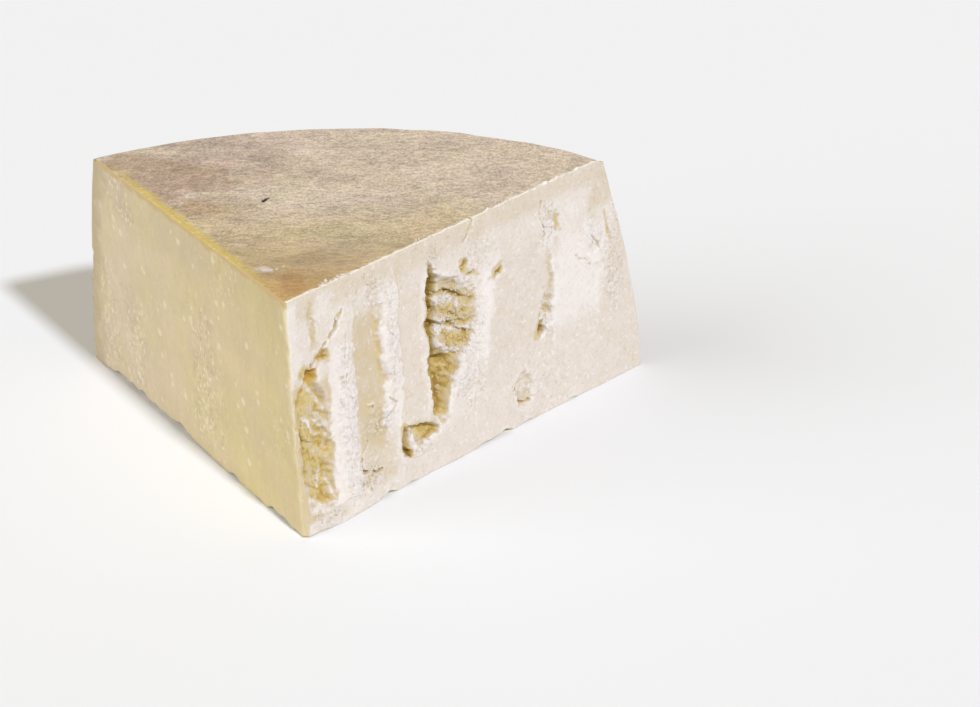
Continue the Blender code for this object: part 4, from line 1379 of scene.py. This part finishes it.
def cut_material(apex):
    """Paste that was cut smooth, with pale specks, granular bands and a line of rind at its edges."""
    material, place = start_material("cut_paste", apex)
    side, (along, _, height) = turned(place, CUT_ALONG, CUT_OUT)
    layers = noises(side, CUT_NOISE)
    grains, wobble = layers["grains"], layers["wobble"]
    rough = rough_bands(along, height, wobble) + LEAST_CUT_GRAIN
    shade = layers["broad"] + rough * grains.ranged(*CUT_GRAIN_SHADE)
    shade = shade + (layers["mottle"] + layers["streaks"]) * (rough + CUT_UNEVEN)
    colour = tinted((along / TOP_RADIUS).graded(CUT_COLOURS), layers["tint"], CUT_TINTS)
    colour = colour.scaled(shade * height.ranged(*CUT_TOP_SHADE))
    worn = (along + wobble * WORN_WOBBLE).ranged(*WORN_EDGE) * height.ranged(*WORN_HEIGHTS)
    colour = colour.mixed(worn, SPECK_COLOUR)
    colour = colour.mixed(spots(side, grains, *DARK_SPOTS) * rough, DARK_SPECK_COLOUR)
    colour = colour.mixed(spots(side, grains, *SMALL_SPOTS) * rough, SPECK_COLOUR)
    colour = colour.mixed(spots(side, grains, *LARGE_SPOTS), SPECK_COLOUR)
    rind = (depth_in_heel(place) + wobble * RIND_WOBBLE).ranged(*RIND_SPAN)
    colour = colour.mixed(rind, CUT_RIND_COLOUR)
    line = (height + wobble * TOP_LINE_WOBBLE).ranged(*TOP_LINE_SPAN)
    colour = colour.mixed(line, TOP_LINE_COLOUR)
    bumps = grains * (rough + rind * RIND_ROUGH)
    finish_material(material, colour, grains.ranged(*CUT_SHINE), bumps, CUT_BUMPS)
    return material


def patched(colour, across, forward, ragged):
    """A colour with the larger patches and marks of the rind mixed in."""
    for x, y, half_x, half_y, strength, patch in RIND_PATCHES:
        aside = (across - x) / half_x
        ahead = (forward - y) / half_y
        distance = (aside * aside + ahead * ahead).maths("SQRT") + ragged
        colour = colour.mixed(distance.ranged(*PATCH_EDGE, 0.0, strength), patch)
    return colour


def edged(colour, place, height, layers):
    """A colour with a yellow band beside the cut side, whose pale flecks are painted glints, and a pale line
    beside the broken side.
    """
    _, (along, out, _) = turned(place, CUT_ALONG, CUT_OUT)
    # Pale flecks in the yellow band, painted glints along the edge
    yellow = layers["flecks"].graded(((0.0, YELLOW_EDGE_COLOUR), (1.0, YELLOW_EDGE_GLINT_COLOUR)))
    share = (layers["edge"] - out).ranged(*YELLOW_EDGE) * band(along, *YELLOW_EDGE_PART)
    colour = colour.mixed(share, yellow)
    _, (_, out, _) = turned(place, BROKEN_ALONG, BROKEN_OUT)
    share = (layers["edge"] * PALE_EDGE_WOBBLE - out).ranged(*PALE_EDGE) * height.ranged(*PALE_EDGE_HEIGHTS)
    return colour.mixed(share, PALE_EDGE_COLOUR)


def rind_material(apex):
    """Dry rind with a fine fibrous grain: orange brown at the pointed end, pale beige at the heel."""
    material, place = start_material("rind", apex)
    across, forward, height = place.parts()
    layers = noises(place, RIND_NOISE)
    fibres, pits = layers["fibres"], layers["pits"]
    on_top = height.ranged(*HEEL_GRAIN)
    fine = (fibres.ranged(*FIBRE_SHADE) + layers["grains"]) * forward.ranged(*GRAIN_FORWARD) * on_top
    colour = patched((forward / TOP_RADIUS).graded(RIND_COLOURS), across, forward, layers["ragged"])
    colour = tinted(colour, layers["tint"], RIND_TINTS).scaled(layers["broad"] + fine + layers["mottle"])
    colour = colour.mixed(pits.ranged(*PIT_SPAN) * on_top, RIND_DARK_COLOUR)
    colour = edged(colour, place, height, layers)
    bumps = fibres + pits * PIT_BUMPS
    finish_material(material, colour, fibres.ranged(*RIND_SHINE), bumps, RIND_BUMPS)
    return material


def direction(azimuth, elevation):
    """Direction towards a light or the camera, its azimuth counted from the front towards the right."""
    level = math.cos(elevation)
    return Vector((math.sin(azimuth) * level, -math.cos(azimuth) * level, math.sin(elevation)))


def view_directions():
    """The camera's right, up and back directions."""
    back = direction(VIEW_AZIMUTH, VIEW_ELEVATION)
    right = Vector((0, 0, 1)).cross(back).normalized()
    upward = back.cross(right)
    cosine, sine = math.cos(VIEW_ROLL), math.sin(VIEW_ROLL)
    return right * cosine + upward * sine, upward * cosine - right * sine, back


def make_camera(apex):
    """The camera of the photo, placed from the foot of the sector's apex."""
    right, upward, back = view_directions()
    eye = Vector(apex) + FIT_RADIUS * (back * VIEW_DISTANCE + right * VIEW_SIDE + upward * VIEW_RISE)
    data = bpy.data.cameras.new("camera")
    data.sensor_width = SENSOR_WIDTH
    data.lens = FOCAL_PIXELS / PHOTO_WIDTH * SENSOR_WIDTH
    data.clip_end = CLIP_END
    camera = placed("camera", data)
    turn = Matrix((right, upward, back)).transposed()
    camera.matrix_world = Matrix.Translation(eye) @ turn.to_4x4()
    bpy.context.scene.camera = camera


def make_sun(name, azimuth, elevation, strength, angle, colour):
    """A distant light that spreads over the given angle."""
    data = bpy.data.lights.new(name, "SUN")
    data.energy = strength
    data.color = colour
    data.angle = angle
    placed(name, data).rotation_euler = direction(azimuth, elevation).to_track_quat("Z", "Y").to_euler()


def make_light():
    """A hard key light from the front right, a soft fill from the left and an even pale sky."""
    for name, values in SUNS.items():
        make_sun(name, *values)
    world = bpy.data.worlds.new("sky")
    bpy.context.scene.world = world
    world.use_nodes = True
    sky = world.node_tree.nodes["Background"]
    sky.inputs["Color"].default_value = SKY_COLOUR
    sky.inputs["Strength"].default_value = SKY_STRENGTH


def make_floor():
    """A wide pale floor just under the piece."""
    mesh = bpy.data.meshes.new("floor")
    corners = [(x * FLOOR_REACH, y * FLOOR_REACH, 0) for x, y in ((-1, -1), (1, -1), (1, 1), (-1, 1))]
    mesh.from_pydata(corners, [], [(0, 1, 2, 3)])
    material = bpy.data.materials.new("floor")
    material.use_nodes = True
    shader = material.node_tree.nodes["Principled BSDF"]
    shader.inputs["Base Color"].default_value = FLOOR_COLOUR
    shader.inputs["Roughness"].default_value = FLOOR_ROUGHNESS
    mesh.materials.append(material)
    floor = placed("floor", mesh)


def main():
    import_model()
    body, apex = make_body()
    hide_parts(NODE)
    for piece in (body, make_crumbs(apex, body.data.materials[0])):
        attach(piece, BODY)
    make_camera(apex)
    make_light()
    make_floor()
    bpy.context.scene.view_settings.view_transform = "Standard"


main()
